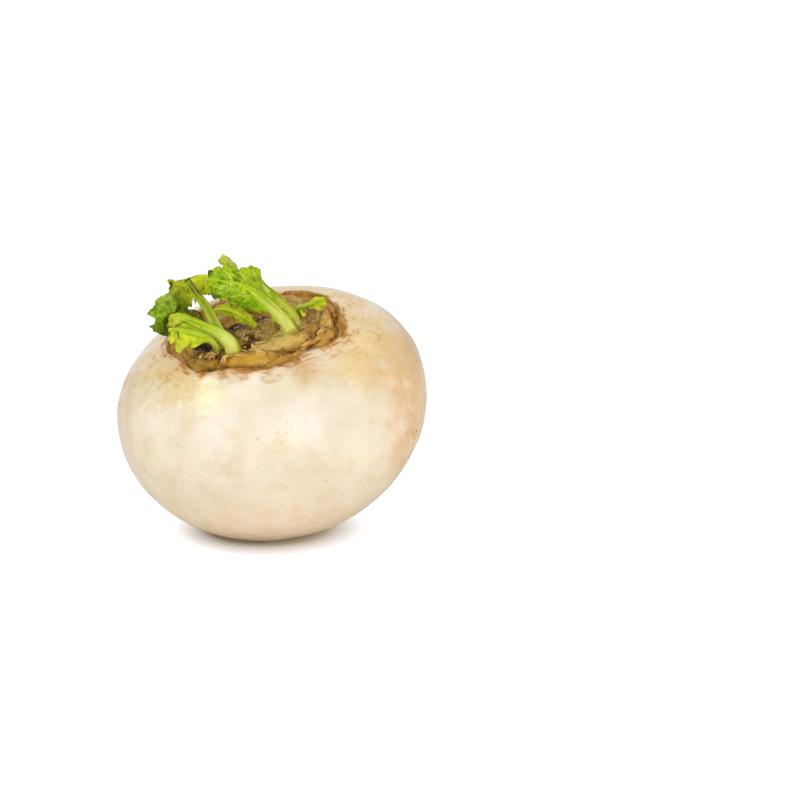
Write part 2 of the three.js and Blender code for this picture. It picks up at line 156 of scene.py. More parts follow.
# bearing, span (half of the angle), inner and outer radius, rise, and the pad's colour
SCAR_PADS = [
    (-48, 52, 9.5, 22.0, 1.5, srgb(226, 200, 126)),
    (-97, 46, 14.0, 23.0, 0.3, srgb(218, 172, 76)),
    (-10, 44, 21.5, 28.0, 0.0, srgb(216, 174, 92)),
    (205, 30, 18.0, 26.5, 0.2, srgb(200, 168, 80)),
    (62, 50, 13.0, 23.0, 0.6, srgb(190, 162, 90)),
    (122, 40, 13.5, 24.0, 0.4, srgb(190, 160, 100)),
    (165, 32, 15.5, 26.0, 0.0, srgb(184, 150, 76)),
]
HEART_RADIUS = 10.5
HEART_RISE = 0.8
HEART_COLOUR = srgb(196, 170, 94)
HOLLOWS = [(-6.5, 2.5, 4.5, 1.6), (-17.5, -4.0, 5.0, 2.0), (-3.2, -9.8, 2.8, 1.2)]
DENT = (9, 29, 24, 1.4)


def root_axes():
    """The root's own frame, as a matrix whose columns are its right, back and axis."""
    axis = np.array([-sin(TIP_LEFT) * cos(TIP_FORWARD), -sin(TIP_FORWARD), cos(TIP_LEFT) * cos(TIP_FORWARD)])
    across = np.cross([0, 1, 0], axis)
    across /= np.linalg.norm(across)
    return np.stack([across, np.cross(axis, across), axis], 1)


ROOT_AXES = root_axes()


def to_part(points):
    return points @ ROOT_AXES.T + np.array([0, 0, CENTRE_HEIGHT])


def superellipse(radius, height, power):
    return height * (1 - np.minimum(1, radius / GIRTH_RADIUS) ** power) ** (1 / power)


def rim_radius(angle):
    return RIM_RADIUS + RIM_OVAL * np.cos(2 * (angle - RIM_TURN))


def skin_height(x, y):
    from_dent = np.minimum(1, np.hypot(x - DENT[0], y - DENT[1]) / DENT[2])
    return superellipse(np.hypot(x, y), CROWN_HEIGHT, CROWN_POWER) - DENT[3] * (1 - from_dent**2) ** 2


def crown(x, y):
    """Height of the top surface, how far each point is in a crease and in a pit, which are darkened with
    painted shade, its pad's colour and how far outside the rim it is."""
    wx = x + WARP_REACH * np.sin(y / WARP_LENGTH + WARP_PHASE[0])
    wy = y + WARP_REACH * np.sin(x / WARP_LENGTH + WARP_PHASE[1])
    radius, angle = np.hypot(wx, wy), np.arctan2(wy, wx)
    skin = skin_height(x, y)
    beyond = radius - rim_radius(angle)
    floor = np.minimum(skin - BASIN_DEPTH, CROWN_LEVEL) - CREVICE_DEPTH
    raised = np.zeros_like(radius)
    high = np.zeros_like(radius)
    colour = np.broadcast_to(BETWEEN_PADS, radius.shape + (3,)).copy()
    for bearing, span, inner, outer, rise, tone in SCAR_PADS:
        turn = angle - radians(bearing)
        share = np.abs(np.arctan2(np.sin(turn), np.cos(turn))) / radians(span)
        edge = inner + (outer - inner) * np.sqrt(np.maximum(0, 1 - share * share))
        within = smooth((radius - inner) / PAD_EDGE) * smooth((edge - radius) / PAD_EDGE)
        weight = np.where(share < 1, within, 0)
        pad = weight * (CREVICE_DEPTH + rise)
        colour = mix(colour, tone, np.where(pad > raised, weight, 0))
        raised = np.maximum(raised, pad)
        high = np.maximum(high, weight)
    heart = smooth((HEART_RADIUS - radius) / (2 * PAD_EDGE))
    colour = mix(colour, HEART_COLOUR, np.where(heart * (CREVICE_DEPTH + HEART_RISE) > raised, heart, 0))
    raised = np.maximum(raised, heart * (CREVICE_DEPTH + HEART_RISE))
    high = np.maximum(high, heart)
    sunk = np.zeros_like(radius)
    for hx, hy, reach, depth in HOLLOWS:
        sunk += depth * smooth(1 - np.hypot(x - hx, y - hy) / reach)
    lip = LIP_RISE * bell(beyond, LIP_WIDTH, LIP_WIDTH)
    outside = smooth((beyond + PAD_EDGE / 2) / PAD_EDGE)
    scar = floor + raised - sunk
    height = scar + (skin + lip - scar) * outside
    # Painted shade: the foot of each pad and the groove at the foot of the rim are darkened.
    foot = bell(high, 0.1, 0.09) * (radius < RIM_RADIUS + 2)
    rim_foot_shade = 0.6 * bell(beyond, -1.1, 0.35) * smooth(0.1 + 1.4 * streaks(radius / 6, angle, 5, 17))
    crease = np.clip(foot + rim_foot_shade, 0, 1) * (1 - outside)
    return height, (crease, np.clip(sunk / 1.4, 0, 1)), colour, beyond


def base_height(radius):
    flare = FLARE_RISE * bell(radius, 0, FLARE_RADIUS)
    stub = STUB_RISE * smooth((STUB_RADIUS + STUB_EDGE - radius) / STUB_EDGE)
    return -(superellipse(radius, BASE_HEIGHT, BASE_POWER) + flare + stub)


# Meshes
def make_object(name, points, faces, colours, material):
    """A closed mesh in metres from points in millimetres, with a colour for each point."""
    mesh = bpy.data.meshes.new(name)
    mesh.from_pydata((np.asarray(points) * MM).tolist(), [], [list(map(int, f)) for f in faces])
    layer = mesh.attributes.new("tint", "FLOAT_COLOR", "POINT")
    layer.data.foreach_set("color", np.asarray(colours, np.float32).ravel())
    mesh.shade_smooth()
    mesh.materials.append(material)
    piece = bpy.data.objects.new(name, mesh)
    bpy.context.scene.collection.objects.link(piece)
    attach(piece, "root")
    return piece


SEGMENTS = 300
CROWN_RINGS = 118
CROWN_REACH = 1.3
BODY_RINGS = 100
BASE_RINGS = 34
BASE_REACH = 17.0


def root_grid():
    """Rings from the crown's middle to the tap root, in the root's own frame."""
    turns = np.linspace(0, 2 * pi, SEGMENTS, endpoint=False)
    radii = [share * rim_radius(turns) for share in np.linspace(0.006, CROWN_REACH, CROWN_RINGS)]
    first = np.arctan2(radii[-1], superellipse(radii[-1], CROWN_HEIGHT, CROWN_POWER))
    last = np.arctan2(BASE_REACH, -superellipse(BASE_REACH, BASE_HEIGHT, BASE_POWER))
    rings = [(r, True) for r in radii]
    for share in np.linspace(0, 1, BODY_RINGS + 1)[1:]:
        polar = first + (last - first) * share
        upper = polar < pi / 2
        height = np.where(upper, CROWN_HEIGHT, BASE_HEIGHT)
        power = np.where(upper, CROWN_POWER, BASE_POWER)
        out, up = np.sin(polar) / GIRTH_RADIUS, np.abs(np.cos(polar)) / height
        reach = (out**power + up**power) ** (-1 / power)
        rings.append((reach * np.sin(polar), upper))
    rings += [(np.full(SEGMENTS, r), False) for r in np.linspace(BASE_REACH, 0.3, BASE_RINGS + 1)[1:]]
    radius = np.array([r for r, _ in rings])
    upper = np.array([np.broadcast_to(u, SEGMENTS) for _, u in rings])
    return radius * np.cos(turns), radius * np.sin(turns), upper


def grid_faces(rings, segments):
    faces = []
    for start in range(0, (rings - 1) * segments, segments):
        for k in range(segments):
            here, beside = start + k, start + (k + 1) % segments
            faces.append((here, here + segments, beside + segments, beside))
    faces.append(tuple(range(segments)))
    faces.append(tuple((rings - 1) * segments + k for k in reversed(range(segments))))
    return faces


def normals_of(grid):
    down = np.gradient(grid, axis=0)
    across = np.roll(grid, -1, axis=1) - np.roll(grid, 1, axis=1)
    normal = np.cross(down, across)
    return normal / np.maximum(np.linalg.norm(normal, axis=-1, keepdims=True), 1e-9)


def build_root(material):
    x, y, upper = root_grid()
    top, depth, pad_colour, beyond = crown(x, y)
    beyond = np.where(upper, beyond, 99)
    grid = np.stack([x, y, np.where(upper, top, base_height(np.hypot(x, y)))], -1)
    normal = normals_of(grid)
    inside = smooth((1.5 - beyond) / 3)
    angle = np.arctan2(y, x)
    radius = np.hypot(x, y)
    # Fine relief: shreds that run round the crown, lumps, and a slightly uneven skin
    shreds = np.abs(streaks(radius / 0.8, angle, 9, 5))
    shreds = shreds + 0.5 * np.abs(streaks(radius / 0.8 * 2.1, angle, 9 * 2.1, 6))
    crown_relief = 0.42 * fractal(grid, 3.6, 4, 11, 0.5) - 0.04 * shreds
    skin_relief = 0.28 * fractal(grid, 17, 3, 21) + 0.01 * fractal(grid, 2.2, 2, 31)
    skin_relief = skin_relief + 0.02 * bell(beyond, 7, 5) * streaks(beyond / 1.1, angle, 4, 41)
    relief = inside * crown_relief + (1 - inside) * skin_relief
    deep, dark = crevices(grid)
    grid = grid + normal * (relief - deep)[..., None]
    colours = root_colours(grid, depth, pad_colour, beyond, angle, radius, dark)
    points = to_part(grid.reshape(-1, 3))
    points[:, 2] = np.maximum(points[:, 2], 0)
    faces = grid_faces(*x.shape)
    root = make_object("root_body", points, faces, colours.reshape(-1, 4), material)
    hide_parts("swollen_root")


CREAM = srgb(250, 243, 229)
PALE = srgb(252, 247, 236)
STRAW = srgb(243, 229, 200)
PEACH = srgb(236, 202, 160)
GREENISH = srgb(228, 228, 170)
RIM_BROWN = srgb(184, 122, 42)
RIM_PINK = srgb(216, 162, 84)
# The next colour serves both as painted shade in the pits and as the colour of rotten places.
DARK = srgb(38, 14, 0)
# The next colour is painted shade in the creases.
CREASE_SHADE = srgb(92, 52, 8)
RUST = srgb(168, 98, 28)
GOLD = srgb(216, 168, 74)
SCAR_WARMTH = np.array([1.0, 0.96, 0.72])
# patches of colour on the skin: middle in the part's frame, reach, colour, strength
PATCHES = [
    ((50, -19, 50), 16, srgb(234, 186, 128), 0.7),
    ((48, -24, 34), 12, srgb(236, 194, 142), 0.6),
    ((44, -14, 62), 15, srgb(228, 184, 126), 0.55),
    ((-50, -14, 42), 12, srgb(236, 206, 172), 0.45),
    ((-30, -24, 61), 11, srgb(220, 184, 112), 0.8),
    ((-23, -32, 56), 9, srgb(224, 206, 158), 0.7),
    ((-44, -22, 56), 9, srgb(226, 192, 142), 0.5),
    ((30, -30, 63), 10, srgb(232, 192, 130), 0.6),
    ((13, -35, 62), 6, srgb(218, 170, 104), 0.75),
    ((0, -30, 6), 30, srgb(242, 220, 190), 0.5),
]
# short rusty scratches: middle in the part's frame and reach
SCRATCHES = [((-48.8, -4, 52), 3.2), ((-50.5, -8, 44), 2.0), ((48.6, -19, 36), 3.4), ((47, -16, 29), 2.2),
             ((30, -40, 34), 2.2), ((6, -48, 28), 2.0)]
# places on the crown: middle in the root's own frame and reach
ROTTEN = [(-7.8, 2.1, 3.6), (-3.2, -8.9, 2.4), (-18.6, -2.4, 3.6), (-13.9, -2.9, 3.6), (-9.5, -9.5, 3.0),
          (2.7, 5.4, 3.6), (-1.5, -5.5, 2.6), (0.2, -8.0, 2.2)]
BROWNED = [(-12.0, -14.0, 3.2), (-10.6, -15.8, 2.8), (18.8, 7.0, 3.6), (19.6, -0.7, 3.2), (23.4, -7.3, 2.6),
           (1.1, -8.5, 2.8), (-15.0, -9.6, 2.6), (20.0, 14.0, 3.0)]
OLIVE_PLACES = [(7.3, 0.4, 6.0), (-19.5, -11.0, 3.0), (14.0, 2.0, 3.0)]
GOLDEN = [(20.0, 17.5, 3.0), (3.6, -20.5, 3.6), (-7.4, -17.8, 2.6), (-13.7, -17.4, 2.4), (19.5, -14.0, 2.2),
          (26.0, 2.0, 2.4)]
# crevices in the crown: half-width, depth, darkness of their painted shade and the line they follow in the
# root's own frame
CREVICES = [
    (0.38, 0.5, 1.0, [(-1.6, -9.3), (0.9, -12.6), (2.9, -13.0), (5.0, -11.7), (7.0, -10.8), (9.4, -10.6)]),
    (0.34, 0.4, 0.9, [(2.9, -17.2), (4.8, -18.7), (7.0, -18.9), (9.5, -18.5), (11.7, -17.7), (16.0, -16.6)]),
    (0.70, 0.7, 1.0, [(13.8, -22.0), (16.1, -20.0), (18.0, -16.8), (20.1, -15.3), (21.8, -13.6)]),
    (0.40, 0.4, 0.8, [(19.3, -13.7), (20.6, -8.5), (21.8, -4.5), (22.7, -1.3), (22.9, 3.4)]),
    (0.40, 0.4, 0.5, [(19.0, 18.2), (23.6, 14.7), (25.5, 12.0), (27.0, 8.7), (28.0, 3.4), (27.0, -3.1),
                      (25.9, -8.1)]),
    (0.40, 0.2, 0.4, [(-21.1, -13.8), (-16.6, -17.4), (-8.2, -20.6), (-3.3, -22.0), (3.1, -23.2),
                      (8.3, -26.2), (11.7, -26.9), (14.2, -25.4)]),
    (0.35, 0.3, 0.7, [(9.4, -25.1), (11.5, -21.5), (13.7, -23.0), (14.9, -24.5)]),
    (0.90, 0.5, 1.0, [(-10.7, 7.2), (-8.8, 1.8), (-6.5, -3.0), (-4.6, -5.5)]),
    (0.45, 0.3, 0.7, [(-24.0, -3.0), (-22.5, -8.5), (-18.0, -13.0), (-12.5, -15.0), (-6.0, -15.6)]),
    (0.35, 0.3, 0.7, [(8.0, 15.5), (13.0, 12.5), (16.5, 8.5), (17.5, 3.5)]),
]


def crevices(grid):
    """How deep the crevices are at each point of the crown, and how dark their painted shade is."""
    deep, dark = np.zeros(grid.shape[:2]), np.zeros(grid.shape[:2])
    waver = 0.5 * fractal(grid, 2.4, 2, 121)
    at = grid[..., :2] + waver[..., None] * np.array([0.8, -0.6])
    for width, depth, darkness, line in CREVICES:
        for a, b in zip(np.array(line), np.array(line[1:])):
            along = np.clip(((at - a) @ (b - a)) / ((b - a) @ (b - a)), 0, 1)
            away = np.linalg.norm(at - a - along[..., None] * (b - a), axis=-1)
            near = bell(away, 0, width)
            deep, dark = np.maximum(deep, depth * near), np.maximum(dark, darkness * near)
    on_top = smooth((grid[..., 2] - 20) / 2)
    return deep * on_top, dark * on_top


def near_place(points, middle, reach):
    """1 at a place, falling off over its reach."""
    return bell(np.linalg.norm(points - np.array(middle), axis=-1), 0, reach)


def toward(angle, bearing, gain, cut):
    """1 on the side of the root that faces a bearing, in degrees."""
    return smooth(gain * np.cos(angle - radians(bearing)) - cut)


def skin_colours(grid, beyond, angle, broad, patchy, fine, swirl):
    part = to_part(grid)
    skin = paint(
        CREAM,
        (STRAW, 0.4 * smooth(0.3 + 0.6 * patchy)),
        (PALE, 0.9 * smooth(broad + 0.1)),
        (PEACH, 0.3 * smooth(0.9 * patchy + 0.5 * broad - 0.4)),
    )
    for middle, reach, tone, strength in PATCHES:
        near = near_place(part, middle, reach)
        skin = mix(skin, tone, strength * np.clip(near * (1.1 + 0.5 * patchy + 0.4 * fine), 0, 1))
    # Paler, warmer skin on the back near the crown, partly its own tone and partly painted light.
    behind = smooth((grid[..., 1] - 6) / 18) * smooth((18 - beyond) / 8)
    tint_band = bell(beyond, 9, 5) * smooth(0.5 + 0.6 * broad) * smooth(0.5 - grid[..., 1] / 20)
    skin = paint(skin, (srgb(254, 236, 196), 0.8 * behind), (GREENISH, 0.5 * tint_band))
    scratch = value_noise(part * np.array([0.5, 0.5, 2.6]), 95)
    for middle, reach in SCRATCHES:
        near = near_place(part, middle, reach)
        skin = mix(skin, srgb(206, 128, 44), 0.8 * smooth(1.6 * near + 1.3 * scratch - 1.0))
    mottle = fractal(grid, 2.0, 3, 111)
    wide = 4.6 + 2.6 * toward(angle, -60, 1, 0)
    stain = smooth(1 - (beyond - 2.2 * patchy - 1.2 * swirl) / wide)
    band = bell(beyond - patchy, 3.4, 1.3) * toward(angle, -38, 2.2, 1.0)
    right_shoulder = toward(angle, 25, 1.7, 0.2) * smooth((26 - beyond) / 14)
    left_shoulder = toward(angle, 178, 1.7, 0.5) * smooth((20 - beyond) / 10)
    wisps = smooth(0.8 * swirl + 0.8 * mottle + 0.3 * fine - 0.12) * np.maximum(right_shoulder, left_shoulder)
    front_stain = bell(beyond - 1.5 * patchy, 3.0, 2.2) * toward(angle, -66, 1.9, 0.9)
    speckled = smooth(1 - (beyond - 1.8 * swirl - 1.8 * patchy - 0.9 * fine) / 3.0)
    line = bell(beyond - 0.5 * patchy, 0.9, 0.3) * smooth(0.2 + 1.2 * swirl + 0.5 * broad)
    front_edge = toward(angle, -78, 1.8, 0.9) * bell(beyond, 0.9, 1.1)
    return paint(
        skin,
        (RIM_PINK, 0.6 * stain),
        (srgb(238, 222, 196), 0.85 * band),
        (srgb(250, 220, 156), 0.65 * right_shoulder * smooth(0.8 + 0.7 * patchy)),
        (srgb(246, 218, 160), 0.5 * left_shoulder * smooth(0.7 + 0.8 * patchy)),
        (srgb(220, 160, 80), 0.6 * wisps * smooth((18 - beyond) / 9)),
        (srgb(180, 118, 38), 0.8 * stain * smooth(1.8 * mottle + 0.6 * swirl - 0.1)),
        (srgb(212, 156, 92), 0.75 * front_stain * smooth(0.45 + 0.9 * swirl + 0.9 * mottle)),
        (RIM_BROWN, 0.85 * speckled),
        (srgb(112, 64, 22), 0.75 * line),
        (srgb(120, 66, 12), 0.75 * front_edge * smooth(0.7 + 0.9 * swirl + 0.6 * fine)),
    )


def scar_colours(grid, depth, pad_colour, angle, radius, broad, patchy, fine):
    streak = streaks(radius / 0.55, angle, 14, 81)
    crease, pit = depth
    scar = paint(
        pad_colour,
        (RUST, 0.5 * smooth(1.1 * patchy + 0.3 * fine - 0.05)),
        (srgb(226, 198, 128), 0.55 * smooth(0.9 * fine - 0.7 * patchy - 0.1)),
        (srgb(140, 88, 24), 0.4 * smooth(0.7 * streak + 0.9 * patchy - 0.1)),
    )
    stained = [
        (OLIVE_PLACES, srgb(126, 110, 26), 0.75),
        (BROWNED, srgb(104, 70, 22), 0.8),
        (GOLDEN, GOLD, 0.8),
    ]
    for places, tone, strength in stained:
        for x, y, reach in places:
            near = near_place(grid[..., :2], (x, y), reach)
            scar = mix(scar, tone, strength * smooth(1.4 * near + 0.5 * streak + 0.4 * fine - 0.2))
    crack = bell(fractal(grid + 7, 7.0, 2, 101, 0.5), 0, 0.018)
    scar = paint(
        scar,
        (srgb(96, 54, 12), 0.6 * crack * smooth(0.2 + 1.8 * broad)),
        # Painted shade in the creases and pits.
        (CREASE_SHADE, 0.85 * smooth(crease * 1.5 - 0.2 + 0.2 * fine)),
        (DARK, smooth(1.8 * pit - 0.1 + 0.4 * fine)),
    )
    for x, y, reach in ROTTEN:
        near = near_place(grid[..., :2], (x, y), reach)
        scar = mix(scar, DARK, 0.9 * smooth(1.5 * near + 0.7 * fine + 0.4 * patchy - 0.35))
    # Small pale specks are painted highlights, and the scars are warmed.
    return mix(scar, srgb(238, 206, 138), 0.75 * smooth(3.2 * fine - 1.5)) * SCAR_WARMTH


def root_colours(grid, depth, pad_colour, beyond, angle, radius, dark):
    """Skin outside the rim, scars inside it. The alpha is 1 on scars and 0 on skin."""
    broad = fractal(grid, 16, 4, 51)
    patchy = fractal(grid, 5, 4, 61)
    fine = fractal(grid, 1.1, 3, 71)
    swirl = streaks(beyond / 0.7, angle, 8, 91)
    skin = skin_colours(grid, beyond, angle, broad, patchy, fine, swirl)
    scar = scar_colours(grid, depth, pad_colour, angle, radius, broad, patchy, fine)
    inside = 1 - smooth((beyond + 0.4 - 0.9 * fine - 1.2 * patchy - 0.6 * swirl) / 1.5)
    # The crevices are darkened with painted shade.
    colour = mix(mix(skin, scar, inside), srgb(62, 32, 2), 0.9 * dark * smooth(1.1 + 0.5 * fine))
    return np.concatenate([colour, inside[..., None]], -1)


# Leaves, lofted along the same midribs as their solids but with finer teeth, veins and ripples
SUNK = 1.8
TIP_SHARE = 0.94
STALK_WING = 0.15
STALK_GROOVE = 0.45
STALK_HALF_THICKNESS = 0.35
BLADE_HALF_THICKNESS = 0.17
BLADE_BLUNTNESS = 0.6
VEIN_SWEEP = 0.25
RIPPLE_RATE = 5
RIPPLE_GROWTH = 3
SIDE_PHASE = 1
STATION_STEP = 0.26
STALK_COLUMNS = 8
BLADE_COLUMNS = 22
RIBS = (4.6, 0.8)  # spacing along the midrib and lean towards the tip
BRANCHES = (1.55, -0.5)

GREEN = srgb(170, 206, 4)
LIME = srgb(202, 218, 34)
# The next colour is also used as painted shade, in the valleys between puckers and on the shaded outer blade
# of the large centre leaf.
DEEP_GREEN = srgb(78, 112, 0)
VEIN = srgb(206, 222, 112)
STALK_PALE = srgb(224, 230, 146)
STALK_GREEN = srgb(178, 206, 40)
TOOTH_DARK = srgb(44, 42, 6)
STALK_STREAK = srgb(124, 150, 6)
# The next colour is a painted highlight for the ridges of the leaves' puckers.
PAINTED_SHEEN = srgb(212, 228, 132)
OLIVE = srgb(140, 128, 8)
YELLOWISH = srgb(214, 222, 62)
LEAF_WARMTH = np.array([1.0, 1.0, 0.6])

# In each leaf below, the last entry is the strength of the painted shade in the valleys between its puckers.
LEAVES = {
    "leaf_front_upper": dict(
        base=(-7.0, -13.4),
        path=[(-12.3, -23.2, 68.1), (-15.0, -23.0, 70.7), (-19.2, -22.8, 72.8), (-22.9, -22.5, 74.3),
              (-26.6, -22.3, 75.8), (-29.8, -22.0, 76.6), (-32.4, -21.5, 75.9)],
        stalk=(2.7, 0.8), depth=(1.9, 0.7), blade_from=0.58, fullness=1.3, widths=(4.2, 1.2),
        face=((-0.35, -0.75, 0.55), (0.0, -0.8, 0.6)),
        fold=(-8, -30), lobes=2, lobe_depth=0.3, ripple=0.4, barbs=[],
        blade=(LIME, srgb(186, 198, 30)), stem=(STALK_PALE, STALK_GREEN), edge=0.75, tooth=0.22,
        rib_ends=(0.72, 0.9), pucker_shade=0.35,
    ),
    "leaf_front_lower": dict(
        base=(-12.5, -10.2),
        path=[(-17.1, -25.1, 68.0), (-18.6, -27.0, 70.1), (-20.8, -27.4, 71.4), (-23.4, -27.2, 72.2),
              (-26.4, -27.0, 72.8), (-29.2, -26.6, 73.2), (-32.0, -26.2, 72.7)],
        stalk=(1.1, 0.6), depth=(1.0, 0.6), blade_from=0.47, fullness=1.1, widths=(7.6, 0.5),
        face=((-0.1, -0.8, 0.6), (0.0, -0.85, 0.5)),
        fold=(-5, -20), lobes=3, lobe_depth=0.2, ripple=0.4, barbs=[],
        blade=(YELLOWISH, LIME), stem=(STALK_GREEN, STALK_GREEN), edge=0.25, tooth=0.3,
        rib_ends=(0.8, 1.0), pucker_shade=0.4,
    ),
    "stalk_cut_off": dict(
        base=(-9.4, -5.9),
        path=[(-15.3, -17.4, 69.2), (-17.3, -17.9, 73.0), (-19.5, -18.0, 77.8), (-22.2, -18.0, 82.0),
              (-24.9, -18.0, 85.8), (-26.5, -18.0, 88.4)],
        stalk=(2.1, 1.0), depth=(1.5, 0.9), blade_from=1.0, fullness=1, widths=(0, 0),
        face=((0.3, -0.9, 0.3), (0.3, -0.9, 0.3)),
        fold=(0, 0), lobes=0, lobe_depth=0, ripple=0, barbs=[],
        blade=(GREEN, GREEN), stem=(srgb(208, 220, 120), srgb(170, 192, 14)), edge=0, tooth=0,
        rib_ends=(1.1, 1.2), pucker_shade=0.0,
    ),
    "leaf_back_left": dict(
        base=(1.6, 12.6),
        path=[(-8.6, -2.0, 79.2), (-13.1, -3.0, 83.7), (-18.6, -4.0, 86.1), (-23.6, -5.0, 86.5),
              (-27.2, -6.0, 85.4), (-29.8, -7.0, 83.6), (-32.6, -8.0, 80.8), (-35.6, -8.8, 78.0),
              (-37.0, -9.4, 74.8), (-38.2, -9.8, 69.4)],
        stalk=(2.0, 0.7), depth=(1.6, 0.7), blade_from=0.3, fullness=1.15, widths=(8.2, 0.3),
        face=((0.2, -0.4, 0.9), (-0.6, -0.7, 0.4)),
        fold=(-52, 40), lobes=3.6, lobe_depth=0.22, ripple=0.8,
        barbs=[dict(at=0.645, side=1, reach=1.7, span=0.035), dict(at=0.675, side=1, reach=2.9, span=0.035),
               dict(at=0.8, side=1, reach=1.8, span=0.06), dict(at=0.88, side=1, reach=3.9, span=0.036),
               dict(at=0.925, side=1, reach=-1.8, span=0.026), dict(at=0.965, side=1, reach=1.4, span=0.012)],
        blade=(srgb(158, 188, 10), srgb(112, 142, 6)), stem=(STALK_PALE, srgb(190, 204, 60)), edge=0.45,
        tooth=0.24, rib_ends=(0.5, 0.62), pucker_shade=0.55,
    ),
    "leaf_centre_large": dict(
        base=(12.9, -9.6),
        path=[(5.5, -20.6, 75.1), (1.9, -21.2, 79.4), (-2.1, -21.8, 83.2), (-6.2, -22.2, 86.1),
              (-9.8, -22.5, 87.7), (-14.2, -23.0, 88.5), (-19.2, -23.5, 89.6)],
        stalk=(2.2, 0.7), depth=(1.6, 0.7), blade_from=0.34, fullness=1.15, widths=(7.4, 5.6),
        face=((-0.2, -0.85, 0.5), (-0.1, -0.85, 0.5)),
        fold=(6, 12), lobes=3, lobe_depth=0.18, ripple=0.7,
        barbs=[dict(at=0.25, side=0, reach=1.8, span=0.035), dict(at=1.0, side=0, reach=-2.3, span=0.09)],
        blade=(GREEN, srgb(140, 180, 0)), stem=(STALK_PALE, srgb(186, 212, 50)), edge=0.35, tooth=0.26,
        rib_ends=(0.4, 0.76), pucker_shade=0.65,
    ),
    "leaf_centre_inner": dict(
        base=(15.5, -6.2),
        path=[(9.3, -17.0, 75.4), (7.0, -17.0, 78.6), (3.7, -16.8, 81.9), (0.2, -16.5, 84.6),
              (-3.0, -16.2, 87.6), (-4.9, -16.0, 90.6), (-6.3, -16.0, 92.4)],
        stalk=(0.9, 0.6), depth=(0.9, 0.6), blade_from=0.1, fullness=1, widths=(4.2, 0.4),
        face=((-0.6, -0.7, 0.1), (-0.4, -0.9, 0.1)), fold=(10, 0), lobes=4, lobe_depth=0.2, ripple=0.3,
        barbs=[dict(at=0.87, side=1, reach=1.7, span=0.09)],
        blade=(srgb(202, 218, 40), srgb(214, 224, 60)), stem=(srgb(226, 230, 130), srgb(220, 226, 100)),
        edge=0.2, tooth=0.14, rib_ends=(0.6, 0.9), pucker_shade=0.25,
    ),
    "leaf_top_small": dict(
        base=(-4.2, 13.6),
        path=[(-9.8, 2.6, 81.2), (-11.2, 2.4, 86.4), (-12.4, 2.0, 88.9), (-14.4, 2.0, 90.9),
              (-17.0, 2.0, 92.8)],
        stalk=(1.3, 1.0), depth=(1.0, 0.6), blade_from=0.72, fullness=1.2, widths=(1.1, 0.6),
        face=((-0.3, -0.9, 0.0), (-0.3, -0.9, 0.2)),
        fold=(5, 5), lobes=2, lobe_depth=0.4, ripple=0.3, barbs=[],
        blade=(YELLOWISH, LIME), stem=(srgb(216, 222, 124), srgb(212, 220, 110)), edge=0.5, tooth=0.3,
        rib_ends=(0.7, 0.9), pucker_shade=0.1,
    ),
    "leaf_right_small": dict(
        base=(14.2, 4.6),
        path=[(9.2, -7.2, 77.2), (11.5, -7.8, 77.9), (13.8, -8.2, 78.6), (16.2, -8.7, 79.6),
              (18.6, -9.2, 80.2)],
        stalk=(1.0, 0.5), depth=(0.9, 0.6), blade_from=0.55, fullness=1.6, widths=(1.2, 3.2),
        face=((-0.1, -0.8, 0.6), (-0.1, -0.8, 0.6)), fold=(-10, -20), lobes=1, lobe_depth=0.3, ripple=0.2,
        barbs=[dict(at=0.32, side=1, reach=3.4, span=0.09)],
        blade=(srgb(198, 208, 50), LIME), stem=(srgb(128, 154, 20), srgb(170, 188, 44)), edge=0.15,
        tooth=0.25, rib_ends=(0.6, 0.9), pucker_shade=0.2,
    ),
    "leaf_crown_small": dict(
        base=(-13.4, 8.6),
        path=[(-18.6, -7.0, 75.9), (-16.1, -8.8, 77.1), (-11.8, -10.5, 76.4), (-8.0, -12.0, 74.5),
              (-4.2, -13.0, 71.8)],
        stalk=(0.9, 0.6), depth=(0.9, 0.6), blade_from=0.36, fullness=0.9, widths=(1.8, 2.0),
        face=((0.0, -0.8, 0.6), (0.1, -0.85, 0.5)),
        fold=(10, 10), lobes=3, lobe_depth=0.12, ripple=0.2,
        barbs=[dict(at=1.0, side=0, reach=-0.5, span=0.15), dict(at=1.0, side=1, reach=-0.5, span=0.15)],
        blade=(srgb(190, 202, 44), srgb(164, 176, 14)), stem=(OLIVE, LIME), edge=0.2, tooth=0.3,
        rib_ends=(0.5, 0.9), pucker_shade=0.35,
    ),
    "leaf_dried": dict(
        base=(-17.0, 9.6),
        path=[(-23.5, -4.5, 73.4), (-24.9, -5.0, 74.9), (-26.7, -5.3, 75.3), (-29.3, -5.6, 74.6)],
        stalk=(0.8, 0.6), depth=(0.8, 0.6), blade_from=0.2, fullness=1, widths=(3.6, 0.3),
        face=((0.0, -0.8, 0.6), (0.0, -0.8, 0.6)),
        fold=(-15, 20), lobes=3, lobe_depth=0.4, ripple=0.4, barbs=[],
        blade=(OLIVE, srgb(84, 66, 18)), stem=(OLIVE, OLIVE), edge=0.8, tooth=0.3, rib_ends=(0.2, 0.6),
        pucker_shade=0.5,
    ),
}


